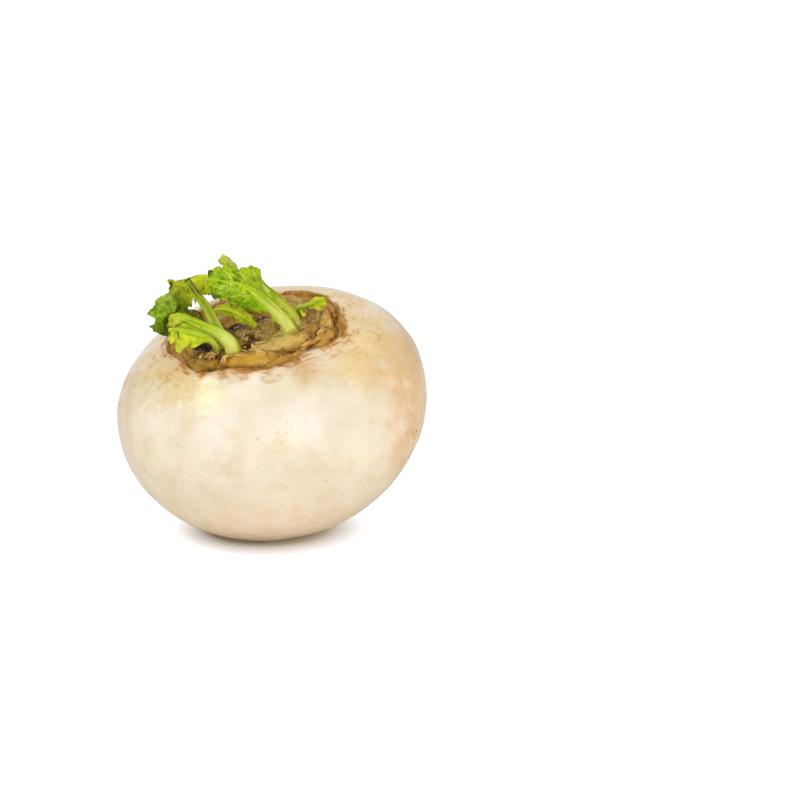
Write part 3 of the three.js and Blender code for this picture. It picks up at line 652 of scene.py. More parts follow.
def curve_samples(points, shares):
    """Points and directions at shares of the length of a centripetal Catmull-Rom curve."""
    p = np.array([2 * points[0] - points[1], *points, 2 * points[-1] - points[-2]], float)
    dense = []
    for a, b, c, d in zip(p, p[1:], p[2:], p[3:]):
        gaps = [max(np.linalg.norm(v) ** 0.5, 1e-4) for v in (b - a, c - b, d - c)]
        start = ((b - a) / gaps[0] - (c - a) / (gaps[0] + gaps[1]) + (c - b) / gaps[1]) * gaps[1]
        end = ((c - b) / gaps[1] - (d - b) / (gaps[1] + gaps[2]) + (d - c) / gaps[2]) * gaps[1]
        t = np.linspace(0, 1, 60, endpoint=False)[:, None]
        bend, twist = 3 * (c - b) - 2 * start - end, 2 * (b - c) + start + end
        dense.append(b + start * t + bend * t**2 + twist * t**3)
    dense = np.concatenate([*dense, p[-2:-1]])
    length = np.concatenate([[0], np.cumsum(np.linalg.norm(np.diff(dense, axis=0), axis=1))])
    at = [np.interp(shares * length[-1], length, dense[:, k]) for k in range(3)]
    points_at = np.stack(at, -1)
    tangent = np.gradient(points_at, axis=0)
    tangent /= np.linalg.norm(tangent, axis=1, keepdims=True)
    return points_at, tangent, length[-1]


def leaf_base(leaf):
    x, y = leaf["base"]
    height = crown(np.array([float(x)]), np.array([float(y)]))[0][0]
    return to_part(np.array([x, y, height]))


def curve_length(points):
    return curve_samples(points, np.linspace(0, 1, 50))[2]


def blade_outline(leaf, blade, share, side):
    """Half-width of the blade beyond the stalk, as the solid has it but without its teeth."""
    outline = np.maximum(0, np.sin(pi * (TIP_SHARE * blade) ** leaf["fullness"])) ** BLADE_BLUNTNESS
    sinus = np.cos(pi * leaf["lobes"] * blade + SIDE_PHASE * side) ** 2
    width = leaf["widths"][side] * outline * (1 - leaf["lobe_depth"] * sinus)
    for barb in leaf["barbs"]:
        if barb["side"] == side:
            width = width + barb["reach"] * bell(share, barb["at"], barb["span"])
    return np.maximum(width, 0)


def tooth_cut(along, seed):
    """How much of the half-width the teeth take away at each place along the midrib."""
    spread = np.stack([along / 3.1, np.full_like(along, seed), np.zeros_like(along)], -1)
    phase = along / 2.5 + 0.9 * value_noise(spread, seed)
    saw = phase - np.floor(phase)
    fine = along / 0.95 + 0.5 * value_noise(spread * 2.3, seed + 3)
    lobe = along / 6.2 + 0.6 * value_noise(spread * 0.6, seed + 5)
    notch = np.maximum(0, 1 - 5 * np.abs(lobe - np.floor(lobe) - 0.5))
    teeth = 0.72 * np.minimum(saw / 0.75, (1 - saw) / 0.25) + 0.28 * np.abs(2 * (fine - np.floor(fine)) - 1)
    uneven = 0.8 + 0.9 * value_noise(spread * 0.8, seed + 7)
    return teeth * uneven + 0.9 * notch


def leaf_grid(leaf, seed):
    """Upper and lower points over rows along the midrib and columns across, and where each point lies."""
    base = leaf_base(leaf)
    path = [np.array(p, float) for p in leaf["path"]]
    foot = base + (base - path[0]) / np.linalg.norm(base - path[0]) * SUNK
    points = [foot, base, *path]
    rows = int(round(curve_length(points) / STATION_STEP)) + 1
    share = np.linspace(0, 1, rows)
    point, tangent, length = curve_samples(points, share)
    wanted = mix(np.array(leaf["face"][0]), np.array(leaf["face"][1]), share)
    side_way = np.cross(wanted, tangent)
    side_way /= np.linalg.norm(side_way, axis=1, keepdims=True)
    face_way = np.cross(tangent, side_way)
    start = leaf["blade_from"]
    blade = np.clip((share - start) / max(1e-6, 1 - start), 0, 1) if start < 1 else np.zeros(rows)
    stalk = leaf["stalk"][0] + (leaf["stalk"][1] - leaf["stalk"][0]) * share
    depth = leaf["depth"][0] + (leaf["depth"][1] - leaf["depth"][0]) * share
    has_blade = max(leaf["widths"]) > 0
    halves = []
    for side in (0, 1):
        sign = 1 if side == 0 else -1
        smooth_width = blade_outline(leaf, blade, share, side)
        cut = leaf["tooth"] * tooth_cut(share * length + 7.3 * side, seed + 10 * side)
        slope = radians(leaf["fold"][side])
        wave = leaf["ripple"] * np.sin(RIPPLE_RATE * leaf["lobes"] * blade + 2 * SIDE_PHASE * side)
        columns = []
        for k in range(STALK_COLUMNS):
            s = sin(pi / 2 * k / (STALK_COLUMNS - 1))
            bow = np.sqrt(1 - s * s)
            half = STALK_HALF_THICKNESS + (depth - STALK_HALF_THICKNESS) * bow
            if has_blade:
                half = BLADE_HALF_THICKNESS + (half - BLADE_HALF_THICKNESS) * (0.25 + 0.75 * bow)
            top = half * (1 - STALK_GROOVE * bow**3)
            columns.append((sign * s * stalk, top, -half, 0 * share, np.full(rows, s), 0 * share))
        for k in range(1, BLADE_COLUMNS + 1):
            t = k / BLADE_COLUMNS
            width = smooth_width + STALK_WING
            out = width * (t - cut * smooth((t - 0.5) / 0.5))
            rise = out * sin(slope) + wave * t * t * np.minimum(1, width / RIPPLE_GROWTH)
            rise = rise + blade_relief(share * length, out, t, side, seed) * smooth(width / 2)
            thick = BLADE_HALF_THICKNESS * (1 - 0.5 * t**6)
            columns.append((sign * (stalk + out * cos(slope)), rise + thick, rise - thick, VEIN_SWEEP * out,
                            np.full(rows, 1 + t), out))
        halves.append(columns)
    columns = [*reversed(halves[0]), *halves[1][1:]]
    sides = np.array([0] * len(halves[0]) + [1] * (len(halves[1]) - 1))
    upper, lower, reach, out = [], [], [], []
    for across, top, bottom, forward, where, beyond in columns:
        middle = point + side_way * across[:, None] + tangent * forward[:, None]
        upper.append(middle + face_way * top[:, None])
        lower.append(middle + face_way * bottom[:, None])
        reach.append(where)
        out.append(beyond)
    at = SimpleNamespace(
        share=np.repeat(share[:, None], len(columns), 1),
        along=np.repeat((share * length)[:, None], len(columns), 1),
        reach=np.stack(reach, 1),
        out=np.stack(out, 1),
        side=np.repeat(sides[None], rows, 0),
    )
    return np.stack(upper, 1), np.stack(lower, 1), at


def vein_distance(along, out, side, spacing, lean):
    """Distance to the nearest rib that leaves the midrib and leans towards the tip."""
    place = (along - lean * out) / spacing + 0.37 * side
    return np.abs(place - np.floor(place) - 0.5) * spacing


def blade_relief(along, out, t, side, seed):
    main = vein_distance(along, out, side, *RIBS)
    branch = vein_distance(along, out, side, *BRANCHES)
    ridge = -0.14 * bell(main, 0, 0.35) - 0.06 * bell(branch, 0, 0.2)
    puff = -0.3 * np.cos(2 * pi * main / RIBS[0]) * min(1, 2 * t)
    crinkle = 0.5 * crinkles(along, out, side, seed) * min(1, 1.6 * t)
    ruffle = 0.5 * t**3 * np.sin(2 * pi * (along / 4.1) + 1.7 * side + seed)
    return ridge + puff + crinkle + ruffle


def crinkles(along, out, side, seed):
    """Puckers between the ribs, from about -0.7 to 0.7."""
    place = np.stack([along, out + 31 * side, np.full_like(along, seed)], -1)
    return 0.5 - 1.8 * np.abs(fractal(place, 2.4, 3, seed + 5))


def leaf_colours(name, leaf, at, seed):
    """The leaf's colours, and 1 on its blade and 0 on its stalk."""
    place = np.stack([at.along, at.out + 40 * at.side, np.full_like(at.along, seed)], -1)
    broad = fractal(place, 7, 3, seed + 60)
    fine = fractal(place, 1.2, 3, seed + 70)
    rib_from, rib_to = leaf["rib_ends"]
    hidden = smooth((at.share - rib_from) / (rib_to - rib_from))
    wide_enough = smooth(at.out / 0.8)
    on_blade = smooth((at.reach - 1 + 0.8 * hidden) / 0.12) * (wide_enough + (1 - wide_enough) * hidden)
    edge = smooth((at.reach - 1.8 + 0.12 * fine) / 0.2) * smooth(at.out / 1.2)
    ribs = bell(vein_distance(at.along, at.out, at.side, *RIBS), 0, 0.24)
    branches = bell(vein_distance(at.along, at.out, at.side, *BRANCHES), 0, 0.13)
    veins = np.minimum(1, ribs + 0.4 * branches)
    pucker = crinkles(at.along, at.out, at.side, seed)
    blade = paint(
        leaf["blade"][0],
        (leaf["blade"][1], smooth(0.5 + 0.7 * broad)),
        # Painted shade in the valleys between the puckers, and a painted highlight on their ridges.
        (DEEP_GREEN, leaf["pucker_shade"] * smooth(0.25 - 1.1 * pucker + 0.5 * fine)),
        (PAINTED_SHEEN, 0.7 * smooth(3.0 * pucker - 1.1 + 0.6 * broad)),
        (VEIN, 0.75 * veins * (1 - 0.6 * np.clip(at.reach - 1, 0, 1))),
        (TOOTH_DARK, leaf["edge"] * edge * smooth(0.5 + 1.1 * fine + 0.6 * broad)),
    )
    streak = fractal(np.stack([at.along / 9, 2.6 * at.reach + 9 * at.side, 0 * broad], -1), 1, 2, seed)
    # ridge marks a painted highlight along each edge of the stalk's groove.
    ridge = bell(at.reach, 0.5, 0.16) * smooth(0.6 + 0.8 * fine)
    back = smooth((0.5 - at.share) / 0.25) * smooth((0.45 - at.reach) / 0.3)
    low = smooth((0.34 - at.share) / 0.3)
    stem = paint(
        leaf["stem"][0],
        (leaf["stem"][1], smooth(1.7 * at.share)),
        (STALK_STREAK, 0.6 * smooth(1.7 * streak - 0.1) * smooth(2.5 * at.share)),
        # Painted highlight along the edges of the stalk's groove.
        (srgb(234, 240, 184), 0.5 * ridge * np.where(at.side == 0, 1.0, 0.5)),
        (srgb(236, 242, 196), 0.45 * back),
        (STALK_STREAK, 0.5 * smooth((at.reach - 0.72) / 0.2) * (at.side == 1)),
        # Darker towards the foot, where the stalk enters the crown: painted shade.
        (srgb(186, 188, 60), 0.55 * low * smooth(0.6 - 0.5 * at.side + streak)),
        (srgb(150, 146, 30), 0.75 * smooth((0.1 - at.share) / 0.06)),
    )
    colour = mix(stem, blade, on_blade)
    if name in MARKS:
        colour = MARKS[name](colour, at, fine)
    return colour * LEAF_WARMTH, on_blade


def spot(at, share, reach, side, share_span, reach_span):
    """1 at a place on a leaf, falling off round it."""
    return bell(at.share, share, share_span) * bell(at.reach, reach, reach_span) * (at.side == side)


def mark_cut_stalk(colour, at, fine):
    """A pale foot, a groove, and a hollow end with a dark wall."""
    channel = smooth((0.55 - at.reach) / 0.2)
    hollow = smooth((at.share - 0.78) / 0.03) * channel
    wall = bell(at.reach, 0.6, 0.19) * smooth((at.share - 0.72) / 0.05)
    return paint(
        colour,
        (srgb(218, 228, 140), 0.6 * smooth((0.62 - at.share) / 0.25)),
        (srgb(142, 160, 22), 0.6 * channel),
        (srgb(214, 224, 128), 0.5 * bell(at.reach, 0.75, 0.14)),
        (srgb(176, 184, 112), hollow * smooth(0.5 + fine)),
        (TOOTH_DARK, wall * smooth(1.0 + fine)),
        (TOOTH_DARK, 0.7 * hollow * smooth(3.0 * fine - 0.6)),
        (TOOTH_DARK, smooth((at.share - 0.982) / 0.012)),
        (TOOTH_DARK, 0.8 * spot(at, 0.82, 0.35, 1, 0.03, 0.2)),
    )


def mark_centre_large(colour, at, fine):
    """A dark tip, painted glossy highlights, painted shade and a painted shadow spot, lighter parts, and four
    veins that fan out.
    """
    tip = smooth((at.share - 0.95 + 0.04 * fine) / 0.04)
    painted_gloss = spot(at, 0.485, 1.66, 1, 0.05, 0.24) + 0.7 * spot(at, 0.6, 1.75, 1, 0.03, 0.12)
    shade = smooth((at.share - 0.5) / 0.1) * smooth((at.reach - 1.5) / 0.3) * (at.side == 0)
    under = smooth((at.share - 0.3) / 0.1) * smooth((0.6 - at.share) / 0.1) * (at.side == 0)
    away = smooth((at.reach - 1.3) / 0.3) * smooth((0.78 - at.share) / 0.15) * (at.side == 1)
    colour = paint(
        colour,
        (TOOTH_DARK, 0.9 * tip * smooth((at.reach - 1.0) / 0.5)),
        (srgb(214, 226, 120), 0.75 * spot(at, 0.63, 1.95, 1, 0.05, 0.3) * smooth(0.9 + fine)),
        # A painted shadow between the frills.
        (srgb(70, 88, 0), 0.9 * spot(at, 0.727, 1.95, 0, 0.022, 0.2)),
        # Painted highlights.
        (srgb(222, 232, 186), 0.9 * np.minimum(painted_gloss, 1) * smooth(0.9 + fine)),
        # Painted shade on the outer part of the blade.
        (DEEP_GREEN, 0.75 * shade * smooth(0.7 + 1.2 * fine)),
        (srgb(122, 168, 4), 0.6 * under * smooth((at.reach - 1.1) / 0.2)),
        (srgb(176, 200, 20), 0.6 * away * smooth(0.5 + 1.2 * fine)),
    )
    for start, slope in ((0.55, 0.3), (0.68, 0.34), (0.8, 0.3), (0.62, 0.16)):
        vein = bell(at.share - slope * (at.reach - 1), start, 0.012) * smooth((at.reach - 1) / 0.1)
        colour = mix(colour, VEIN, 0.65 * vein * smooth((2.0 - at.reach) / 0.5))
    return colour


def mark_centre_inner(colour, at, fine):
    return paint(
        colour,
        # A painted highlight on the blade.
        (srgb(224, 232, 184), 0.85 * spot(at, 0.6, 1.5, 0, 0.12, 0.4) * smooth(0.7 + fine)),
        (srgb(66, 54, 14), spot(at, 0.4, 1.55, 0, 0.014, 0.14)),
        (DEEP_GREEN, 0.6 * spot(at, 0.5, 1.8, 0, 0.1, 0.25)),
    )


def mark_back_left(colour, at, fine):
    """A lime arch with a bitten corner, and beyond its fold a darker lobe with painted glossy highlights and
    a painted shadow behind its edge.
    """
    share, reach = at.share, at.reach
    first = at.side == 1
    pale = smooth((0.72 - share) / 0.1) * smooth((2.1 - reach) / 0.4)
    corner = smooth((share - 0.59) / 0.03) * smooth((0.73 - share) / 0.03)
    corner = corner * np.where(first, 1, smooth((1.4 - reach) / 0.2))
    bitten = spot(at, 0.68, 1.62, 1, 0.016, 0.2) + spot(at, 0.695, 1.85, 1, 0.012, 0.14)
    lobe = smooth((share - 0.72) / 0.03) * np.where(first, 1, smooth((1.4 + 0.12 * fine - reach) / 0.05))
    fold = smooth((share - 0.64) / 0.05) * (1 - lobe) * (1 - first)
    inner = fold * smooth((1.56 - reach) / 0.1) * smooth((share - 0.7) / 0.04)
    # A painted shadow behind the lobe's edge, and painted highlights along the lobe.
    behind = bell(reach - 0.12 * fine, 1.5, 0.07) * (1 - first) * (1 - lobe) * smooth((share - 0.71) / 0.03)
    painted_shine = bell(reach, 1.35, 0.12) + bell(reach, 1.8, 0.09)
    return paint(
        colour,
        (srgb(222, 228, 52), 0.85 * pale * smooth(0.8 + fine)),
        (srgb(186, 192, 22), 0.85 * corner * smooth(0.7 + 1.2 * fine)),
        (srgb(122, 132, 8), 0.6 * corner * smooth(1.8 * fine)),
        (srgb(48, 40, 6), smooth(1.5 * bitten + 0.6 * fine - 0.1) * (bitten > 0.15)),
        (srgb(146, 182, 44), 0.85 * lobe),
        (srgb(84, 116, 6), 0.7 * lobe * smooth(-2.0 * fine + 0.1)),
        # Painted highlight flecks on the lobe.
        (srgb(176, 202, 112), 0.8 * lobe * smooth(3.4 * fine - 0.7) * (share < 0.9)),
        (srgb(190, 206, 90), 0.6 * lobe * first * smooth((reach - 1.8) / 0.15)),
        (srgb(104, 124, 4), 0.8 * fold * smooth(0.8 + fine)),
        (srgb(60, 72, 0), 0.7 * inner),
        # Painted shadow behind the lobe's edge.
        (srgb(48, 60, 0), 0.85 * behind),
        (srgb(74, 96, 10), 0.7 * smooth((share - 0.9) / 0.05) * smooth(0.8 + 1.5 * fine)),
        # Painted highlights along the lobe's edges.
        (srgb(190, 212, 132), 0.6 * painted_shine * lobe * first * smooth(2.0 * fine + 0.3)),
    )


def mark_front_upper(colour, at, fine):
    """A torn, paler end with a dark tear across it."""
    torn = smooth((at.share - 0.78) / 0.05) * smooth((at.reach - 1.1) / 0.3)
    tear = bell(at.share - 0.09 * (at.reach - 1), 0.79, 0.012) * smooth((at.reach - 0.3) / 0.3)
    return paint(
        colour,
        (srgb(208, 206, 128), 0.6 * torn * smooth(0.5 - fine)),
        (TOOTH_DARK, 0.85 * tear * (at.side == 0)),
        (TOOTH_DARK, 0.9 * smooth((at.share - 0.97) / 0.02) * smooth(0.6 + fine)),
    )


def mark_front_lower(colour, at, fine):
    tear = bell(at.share + 0.16 * (at.reach - 1), 0.88, 0.014) * (at.side == 0)
    return paint(
        colour,
        (TOOTH_DARK, 0.8 * tear * smooth((1.5 - at.reach) / 0.2)),
        (TOOTH_DARK, 0.8 * spot(at, 0.99, 1.1, 0, 0.02, 0.3)),
        (srgb(222, 224, 120), 0.5 * smooth((at.reach - 1.3) / 0.4) * smooth(0.3 + 1.5 * fine)),
    )


def mark_top_small(colour, at, fine):
    return paint(
        colour,
        (TOOTH_DARK, smooth((at.reach - 1.5) / 0.3) * (at.side == 1) * smooth(0.7 + fine)),
        (srgb(150, 178, 30), 0.7 * smooth((0.5 - at.share) / 0.1)),
        (srgb(224, 230, 138), 0.75 * smooth((at.share - 0.5) / 0.1) * smooth((1.5 - at.reach) / 0.2)),
    )


# What is seen on one leaf only
MARKS = {
    "stalk_cut_off": mark_cut_stalk,
    "leaf_centre_large": mark_centre_large,
    "leaf_centre_inner": mark_centre_inner,
    "leaf_back_left": mark_back_left,
    "leaf_front_upper": mark_front_upper,
    "leaf_front_lower": mark_front_lower,
    "leaf_top_small": mark_top_small,
}


def leaf_faces(rows, columns):
    faces = []
    under = rows * columns

    def at(r, c):
        return r * columns + c

    for r in range(rows - 1):
        for c in range(columns - 1):
            faces.append((at(r, c), at(r, c + 1), at(r + 1, c + 1), at(r + 1, c)))
            faces.append(tuple(under + i for i in (at(r + 1, c), at(r + 1, c + 1), at(r, c + 1), at(r, c))))
        faces.append((under + at(r, 0), at(r, 0), at(r + 1, 0), under + at(r + 1, 0)))
        e = columns - 1
        faces.append((at(r, e), under + at(r, e), under + at(r + 1, e), at(r + 1, e)))
    for c in range(columns - 1):
        faces.append((at(0, c), under + at(0, c), under + at(0, c + 1), at(0, c + 1)))
        r = rows - 1
        faces.append((at(r, c + 1), under + at(r, c + 1), under + at(r, c), at(r, c)))
    return faces


def build_leaf(name, leaf, seed, material):
    upper, lower, at = leaf_grid(leaf, seed)
    colours, on_blade = leaf_colours(name, leaf, at, seed)
    tint = np.concatenate([colours, on_blade[..., None]], -1).reshape(-1, 4)
    points = np.concatenate([upper.reshape(-1, 3), lower.reshape(-1, 3)])
    faces = leaf_faces(*upper.shape[:2])
    piece = make_object(name + "_blade", points, faces, np.concatenate([tint, tint]), material)
    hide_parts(name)


# Straw-like fibres and husk flakes left on the crown
FIBRE_SIDES = 6
FIBRE_RINGS = 9
FIBRE_RADIUS = 0.36
FIBRE_TONES = [srgb(240, 200, 118), srgb(220, 166, 80), srgb(248, 220, 156)]
# middle in the root's own frame, how many, their reach and their bearing
FIBRE_BUNCHES = [
    ((-12.3, -12.0), 10, 5.4, -1.87),
    ((-8.7, -16.0), 7, 4.2, -1.98),
    ((-2.3, -15.0), 3, 3.0, -1.3),
    ((-16.4, -11.6), 3, 3.4, -1.9),
    ((-5.4, -17.2), 2, 2.6, -0.3),
    ((24.5, -6.5), 3, 2.4, 1.2),
    ((22.0, -10.5), 3, 2.4, 0.9),
]
FLAKE_ROWS = 3
FLAKE_COLUMNS = 9
FLAKE_HALF_THICKNESS = 0.09
FLAKE_TONES = [srgb(206, 150, 66), srgb(180, 116, 44), srgb(222, 178, 100), srgb(140, 84, 30)]
# first and last bearing, distance from the crown's middle and how many
FLAKE_STRETCHES = [(-150, -112, 23.0, 6), (-30, 60, 25.4, 6), (60, 200, 25.4, 14)]


def tube(points, radii, sides):
    """Closed tapered tube through points."""
    points = np.asarray(points, float)
    tangent = np.gradient(points, axis=0)
    tangent /= np.linalg.norm(tangent, axis=1, keepdims=True)
    side = np.cross(tangent, [0.3, 0.2, 0.93])
    side /= np.linalg.norm(side, axis=1, keepdims=True)
    other = np.cross(tangent, side)
    turn = np.linspace(0, 2 * pi, sides, endpoint=False)
    ring = (
        points[:, None]
        + side[:, None] * (radii[:, None] * np.cos(turn))[..., None]
        + other[:, None] * (radii[:, None] * np.sin(turn))[..., None]
    )
    return ring.reshape(-1, 3), grid_faces(len(points), sides)


def crown_points(x, y):
    x, y = np.atleast_1d(np.asarray(x, float)), np.atleast_1d(np.asarray(y, float))
    return to_part(np.stack([x, y, crown(x, y)[0]], -1))


def fibre(random, middle, reach, bearing):
    """One fibre that starts near the middle and lifts off the crown: its points, faces and colour."""
    x, y = middle[0] + random.normal(0, 0.9), middle[1] + random.normal(0, 0.7)
    length = reach * random.uniform(0.7, 1.05)
    way = bearing + random.normal(0, 0.22)
    share = np.linspace(0, 1, FIBRE_RINGS)
    path = crown_points(x + length * share * cos(way), y + length * share * sin(way))
    lift = 0.7 + 0.9 * np.sin(pi * share * random.uniform(0.5, 0.8))
    path = path + ROOT_AXES[:, 2] * lift[:, None]
    radii = FIBRE_RADIUS * np.sqrt(np.maximum(0.05, 1 - share**2)) * random.uniform(0.6, 1.0)
    points, faces = tube(path, radii, FIBRE_SIDES)
    tone = mix(FIBRE_TONES[random.integers(3)], srgb(170, 112, 40), random.uniform(0, 0.25))
    return points, faces, tone


def flake(random, first, last, ring):
    """One thin curled flake that stands along the edge of a scar: its points, faces and colour."""
    bearing = radians(random.uniform(first, last))
    span = random.uniform(1.2, 3.4) / ring
    radius = ring + random.normal(0, 1.0)
    tall = random.uniform(0.4, 1.1)
    lean = random.normal(0.3, 0.5)
    turn = bearing + np.linspace(-0.5, 0.5, FLAKE_COLUMNS) * span
    wobble = 0.25 * np.sin(np.linspace(0, random.uniform(3, 7), FLAKE_COLUMNS) + random.uniform(0, 6))
    radius = radius + RIM_OVAL * np.cos(2 * (turn - RIM_TURN)) + wobble
    foot = crown_points(radius * np.cos(turn), radius * np.sin(turn))
    out = (ROOT_AXES @ np.stack([np.cos(turn), np.sin(turn), 0 * turn])).T
    ragged = 1 - 0.45 * random.random(FLAKE_COLUMNS)
    arch = np.sin(np.linspace(0.12, pi - 0.12, FLAKE_COLUMNS)) ** 0.7 * ragged
    levels = np.linspace(0, 1, FLAKE_ROWS)[:, None]
    rise = levels * tall * arch - 0.25 * (1 - levels)
    tilt = lean * levels**1.5 * tall * arch
    middle = foot + ROOT_AXES[:, 2] * rise[..., None] + out * tilt[..., None]
    thick = out * FLAKE_HALF_THICKNESS * (1 - 0.5 * levels)[..., None]
    points = np.concatenate([(middle + thick).reshape(-1, 3), (middle - thick).reshape(-1, 3)])
    tone = mix(FLAKE_TONES[random.integers(4)], FLAKE_TONES[random.integers(4)], random.random())
    return points, leaf_faces(FLAKE_ROWS, FLAKE_COLUMNS), tone


def make_cluster(name, solids, material):
    """One object from small closed solids, each with its points, faces and colour."""
    points, faces, tints = [], [], []
    count = 0
    for solid, solid_faces, tone in solids:
        points.append(solid)
        faces += [tuple(i + count for i in face) for face in solid_faces]
        count += len(solid)
        tints.append(np.tile([*tone, 1.0], (len(solid), 1)))
    make_object(name, np.concatenate(points), faces, np.concatenate(tints), material)


def build_fibres(material):
    random = np.random.default_rng(7)
    fibres = [
        fibre(random, middle, reach, bearing)
        for middle, number, reach, bearing in FIBRE_BUNCHES
        for _ in range(number)
    ]
    make_cluster("crown_fibres", fibres, material)


def build_husks(material):
    random = np.random.default_rng(11)
    flakes = [
        flake(random, first, last, ring)
        for first, last, ring, number in FLAKE_STRETCHES
        for _ in range(number)
    ]
    make_cluster("crown_husks", flakes, material)


# Materials
class Nodes:
    """A small helper for shader nodes."""

    def __init__(self, name):
        self.material = bpy.data.materials.new(name)
        self.material.use_nodes = True
        self.tree = self.material.node_tree
        self.shader = self.tree.nodes["Principled BSDF"]
        self.place = self.add("ShaderNodeTexCoord").outputs["Object"]
        tint = self.add("ShaderNodeAttribute")
        tint.attribute_name = "tint"
        self.tint, self.mask = tint.outputs["Color"], tint.outputs["Alpha"]

    def add(self, kind, **settings):
        node = self.tree.nodes.new(kind)
        for key, value in settings.items():
            setattr(node, key, value)
        return node

    def put(self, socket, value):
        if isinstance(value, bpy.types.NodeSocket):
            self.tree.links.new(value, socket)
        else:
            socket.default_value = value

    def noise(self, scale, detail=4, roughness=0.55):
        node = self.add("ShaderNodeTexNoise")
        self.put(node.inputs["Vector"], self.place)
        for key, value in (("Scale", scale), ("Detail", detail), ("Roughness", roughness)):
            self.put(node.inputs[key], value)
        return node.outputs["Fac"]

    def ranged(self, value, low, high, to_low=0.0, to_high=1.0):
        node = self.add("ShaderNodeMapRange")
        for socket, v in zip(node.inputs, (value, low, high, to_low, to_high)):
            self.put(socket, v)
        return node.outputs[0]

    def maths(self, operation, a, b):
        node = self.add("ShaderNodeMath", operation=operation)
        self.put(node.inputs[0], a)
        self.put(node.inputs[1], b)
        return node.outputs[0]

    def blend(self, kind, factor, a, b):
        node = self.add("ShaderNodeMix", data_type="RGBA", blend_type=kind)
        self.put(node.inputs[0], factor)
        self.put(node.inputs[6], a)
        self.put(node.inputs[7], b)
        return node.outputs[2]

    def ramp(self, scale, low, high):
        """Colour between low and high by a noise of that scale."""
        return self.blend("MIX", self.ranged(self.noise(scale, 5), 0.3, 0.7), (*low, 1.0), (*high, 1.0))

    def cells(self, scale):
        """Distance from the nearest of scattered points, and a colour for each of them."""
        node = self.add("ShaderNodeTexVoronoi")
        self.put(node.inputs["Vector"], self.place)
        self.put(node.inputs["Scale"], scale)
        return node.outputs["Distance"], node.outputs["Color"]

    def bump(self, height, strength, distance):
        node = self.add("ShaderNodeBump")
        self.put(node.inputs["Height"], height)
        self.put(node.inputs["Strength"], strength)
        self.put(node.inputs["Distance"], distance)
        return node.outputs["Normal"]

    def finish(self, colour, roughness, normal, subsurface=0.0, radius=(1, 0.5, 0.25), scale=0.001):
        self.put(self.shader.inputs["Base Color"], colour)
        self.put(self.shader.inputs["Roughness"], roughness)
        self.put(self.shader.inputs["Normal"], normal)
        self.shader.inputs["Subsurface Weight"].default_value = subsurface
        self.shader.inputs["Subsurface Radius"].default_value = radius
        self.shader.inputs["Subsurface Scale"].default_value = scale
        return self.material


def freckles(n):
    """Sparse larger dots, and small ones where they crowd."""
    distance, pick = n.cells(520.0)
    picked = n.add("ShaderNodeSeparateColor")
    n.put(picked.inputs[0], pick)
    strength = n.ranged(picked.outputs[0], 0.45, 1.0, 0.0, 0.8)
    sparse = n.maths("MULTIPLY", n.ranged(distance, 0.05, 0.2, 1.0, 0.0), strength)
    distance, _ = n.cells(900.0)
    crowded = n.ranged(n.noise(60, 2), 0.5, 0.66, 0.0, 0.6)
    return n.maths("MAXIMUM", sparse, n.maths("MULTIPLY", n.ranged(distance, 0.1, 0.3, 1.0, 0.0), crowded))


def root_material():
    n = Nodes("root_skin")
    colour = n.blend("MULTIPLY", 1.0, n.tint, n.ramp(70, (0.93, 0.9, 0.84), (1.04, 1.03, 1.02)))
    dots = n.maths("MULTIPLY", freckles(n), n.ranged(n.mask, 0.0, 0.5, 1.0, 0.0))
    colour = n.blend("MIX", dots, colour, (*srgb(236, 174, 72), 1.0))
    grain = n.maths("MULTIPLY", n.ranged(n.noise(620, 5, 0.6), 0.45, 0.75, 0.0, 0.3), n.mask)
    colour = n.blend("MIX", grain, colour, (*srgb(122, 74, 20), 1.0))
    roughness = n.maths("ADD", n.ranged(n.noise(300), 0.3, 0.7, 0.17, 0.23), n.maths("MULTIPLY", n.mask, 0.1))
    pores = n.maths("MULTIPLY", n.noise(560, 6, 0.6), n.ranged(n.mask, 0.0, 1.0, 0.3, 0.45))
    waves = n.maths("MULTIPLY", n.noise(230, 3), n.ranged(n.mask, 0.0, 0.5, 0.55, 0.0))
    normal = n.bump(n.maths("ADD", pores, waves), 0.7, 0.0006)
    n.shader.inputs["Specular IOR Level"].default_value = 0.28
    n.shader.inputs["Specular Tint"].default_value = (1.0, 0.86, 0.64, 1.0)
    return n.finish(colour, roughness, normal, 0.05, (1, 0.6, 0.35), 0.001)


def leaf_material():
    n = Nodes("leaf_tissue")
    amount = n.ranged(n.mask, 0.0, 1.0, 0.3, 1.0)
    colour = n.blend("MULTIPLY", amount, n.tint, n.ramp(330, (0.7, 0.78, 0.5), (1.28, 1.2, 1.2)))
    roughness = n.ranged(n.noise(300), 0.3, 0.7, 0.26, 0.36)
    n.shader.inputs["Specular IOR Level"].default_value = 0.12
    puckers = n.maths("MULTIPLY", n.noise(420, 3), n.maths("MULTIPLY", n.mask, 1.8))
    normal = n.bump(n.maths("ADD", n.noise(1500, 4), puckers), 0.5, 0.0004)
    return n.finish(colour, roughness, normal, 0.04, (0.6, 1, 0.1), 0.0005)


def husk_material():
    n = Nodes("dried_husk")
    colour = n.blend("MULTIPLY", 1.0, n.tint, n.ramp(900, (0.6, 0.5, 0.4), (1.2, 1.15, 1.05)))
    roughness = n.ranged(n.noise(400), 0.3, 0.7, 0.6, 0.85)
    return n.finish(colour, roughness, n.bump(n.noise(1600, 5), 0.6, 0.0004))


skin = root_material()
green = leaf_material()
husk = husk_material()
build_root(skin)
for number, (leaf_name, spec) in enumerate(LEAVES.items()):
    build_leaf(leaf_name, spec, 3 * number + 1, husk if leaf_name == "leaf_dried" else green)
build_fibres(husk)
build_husks(husk)


# The studio: a bright floor and backdrop, and soft lights
FLOOR_HALF = 2.5
DOME_RADIUS = 2.4
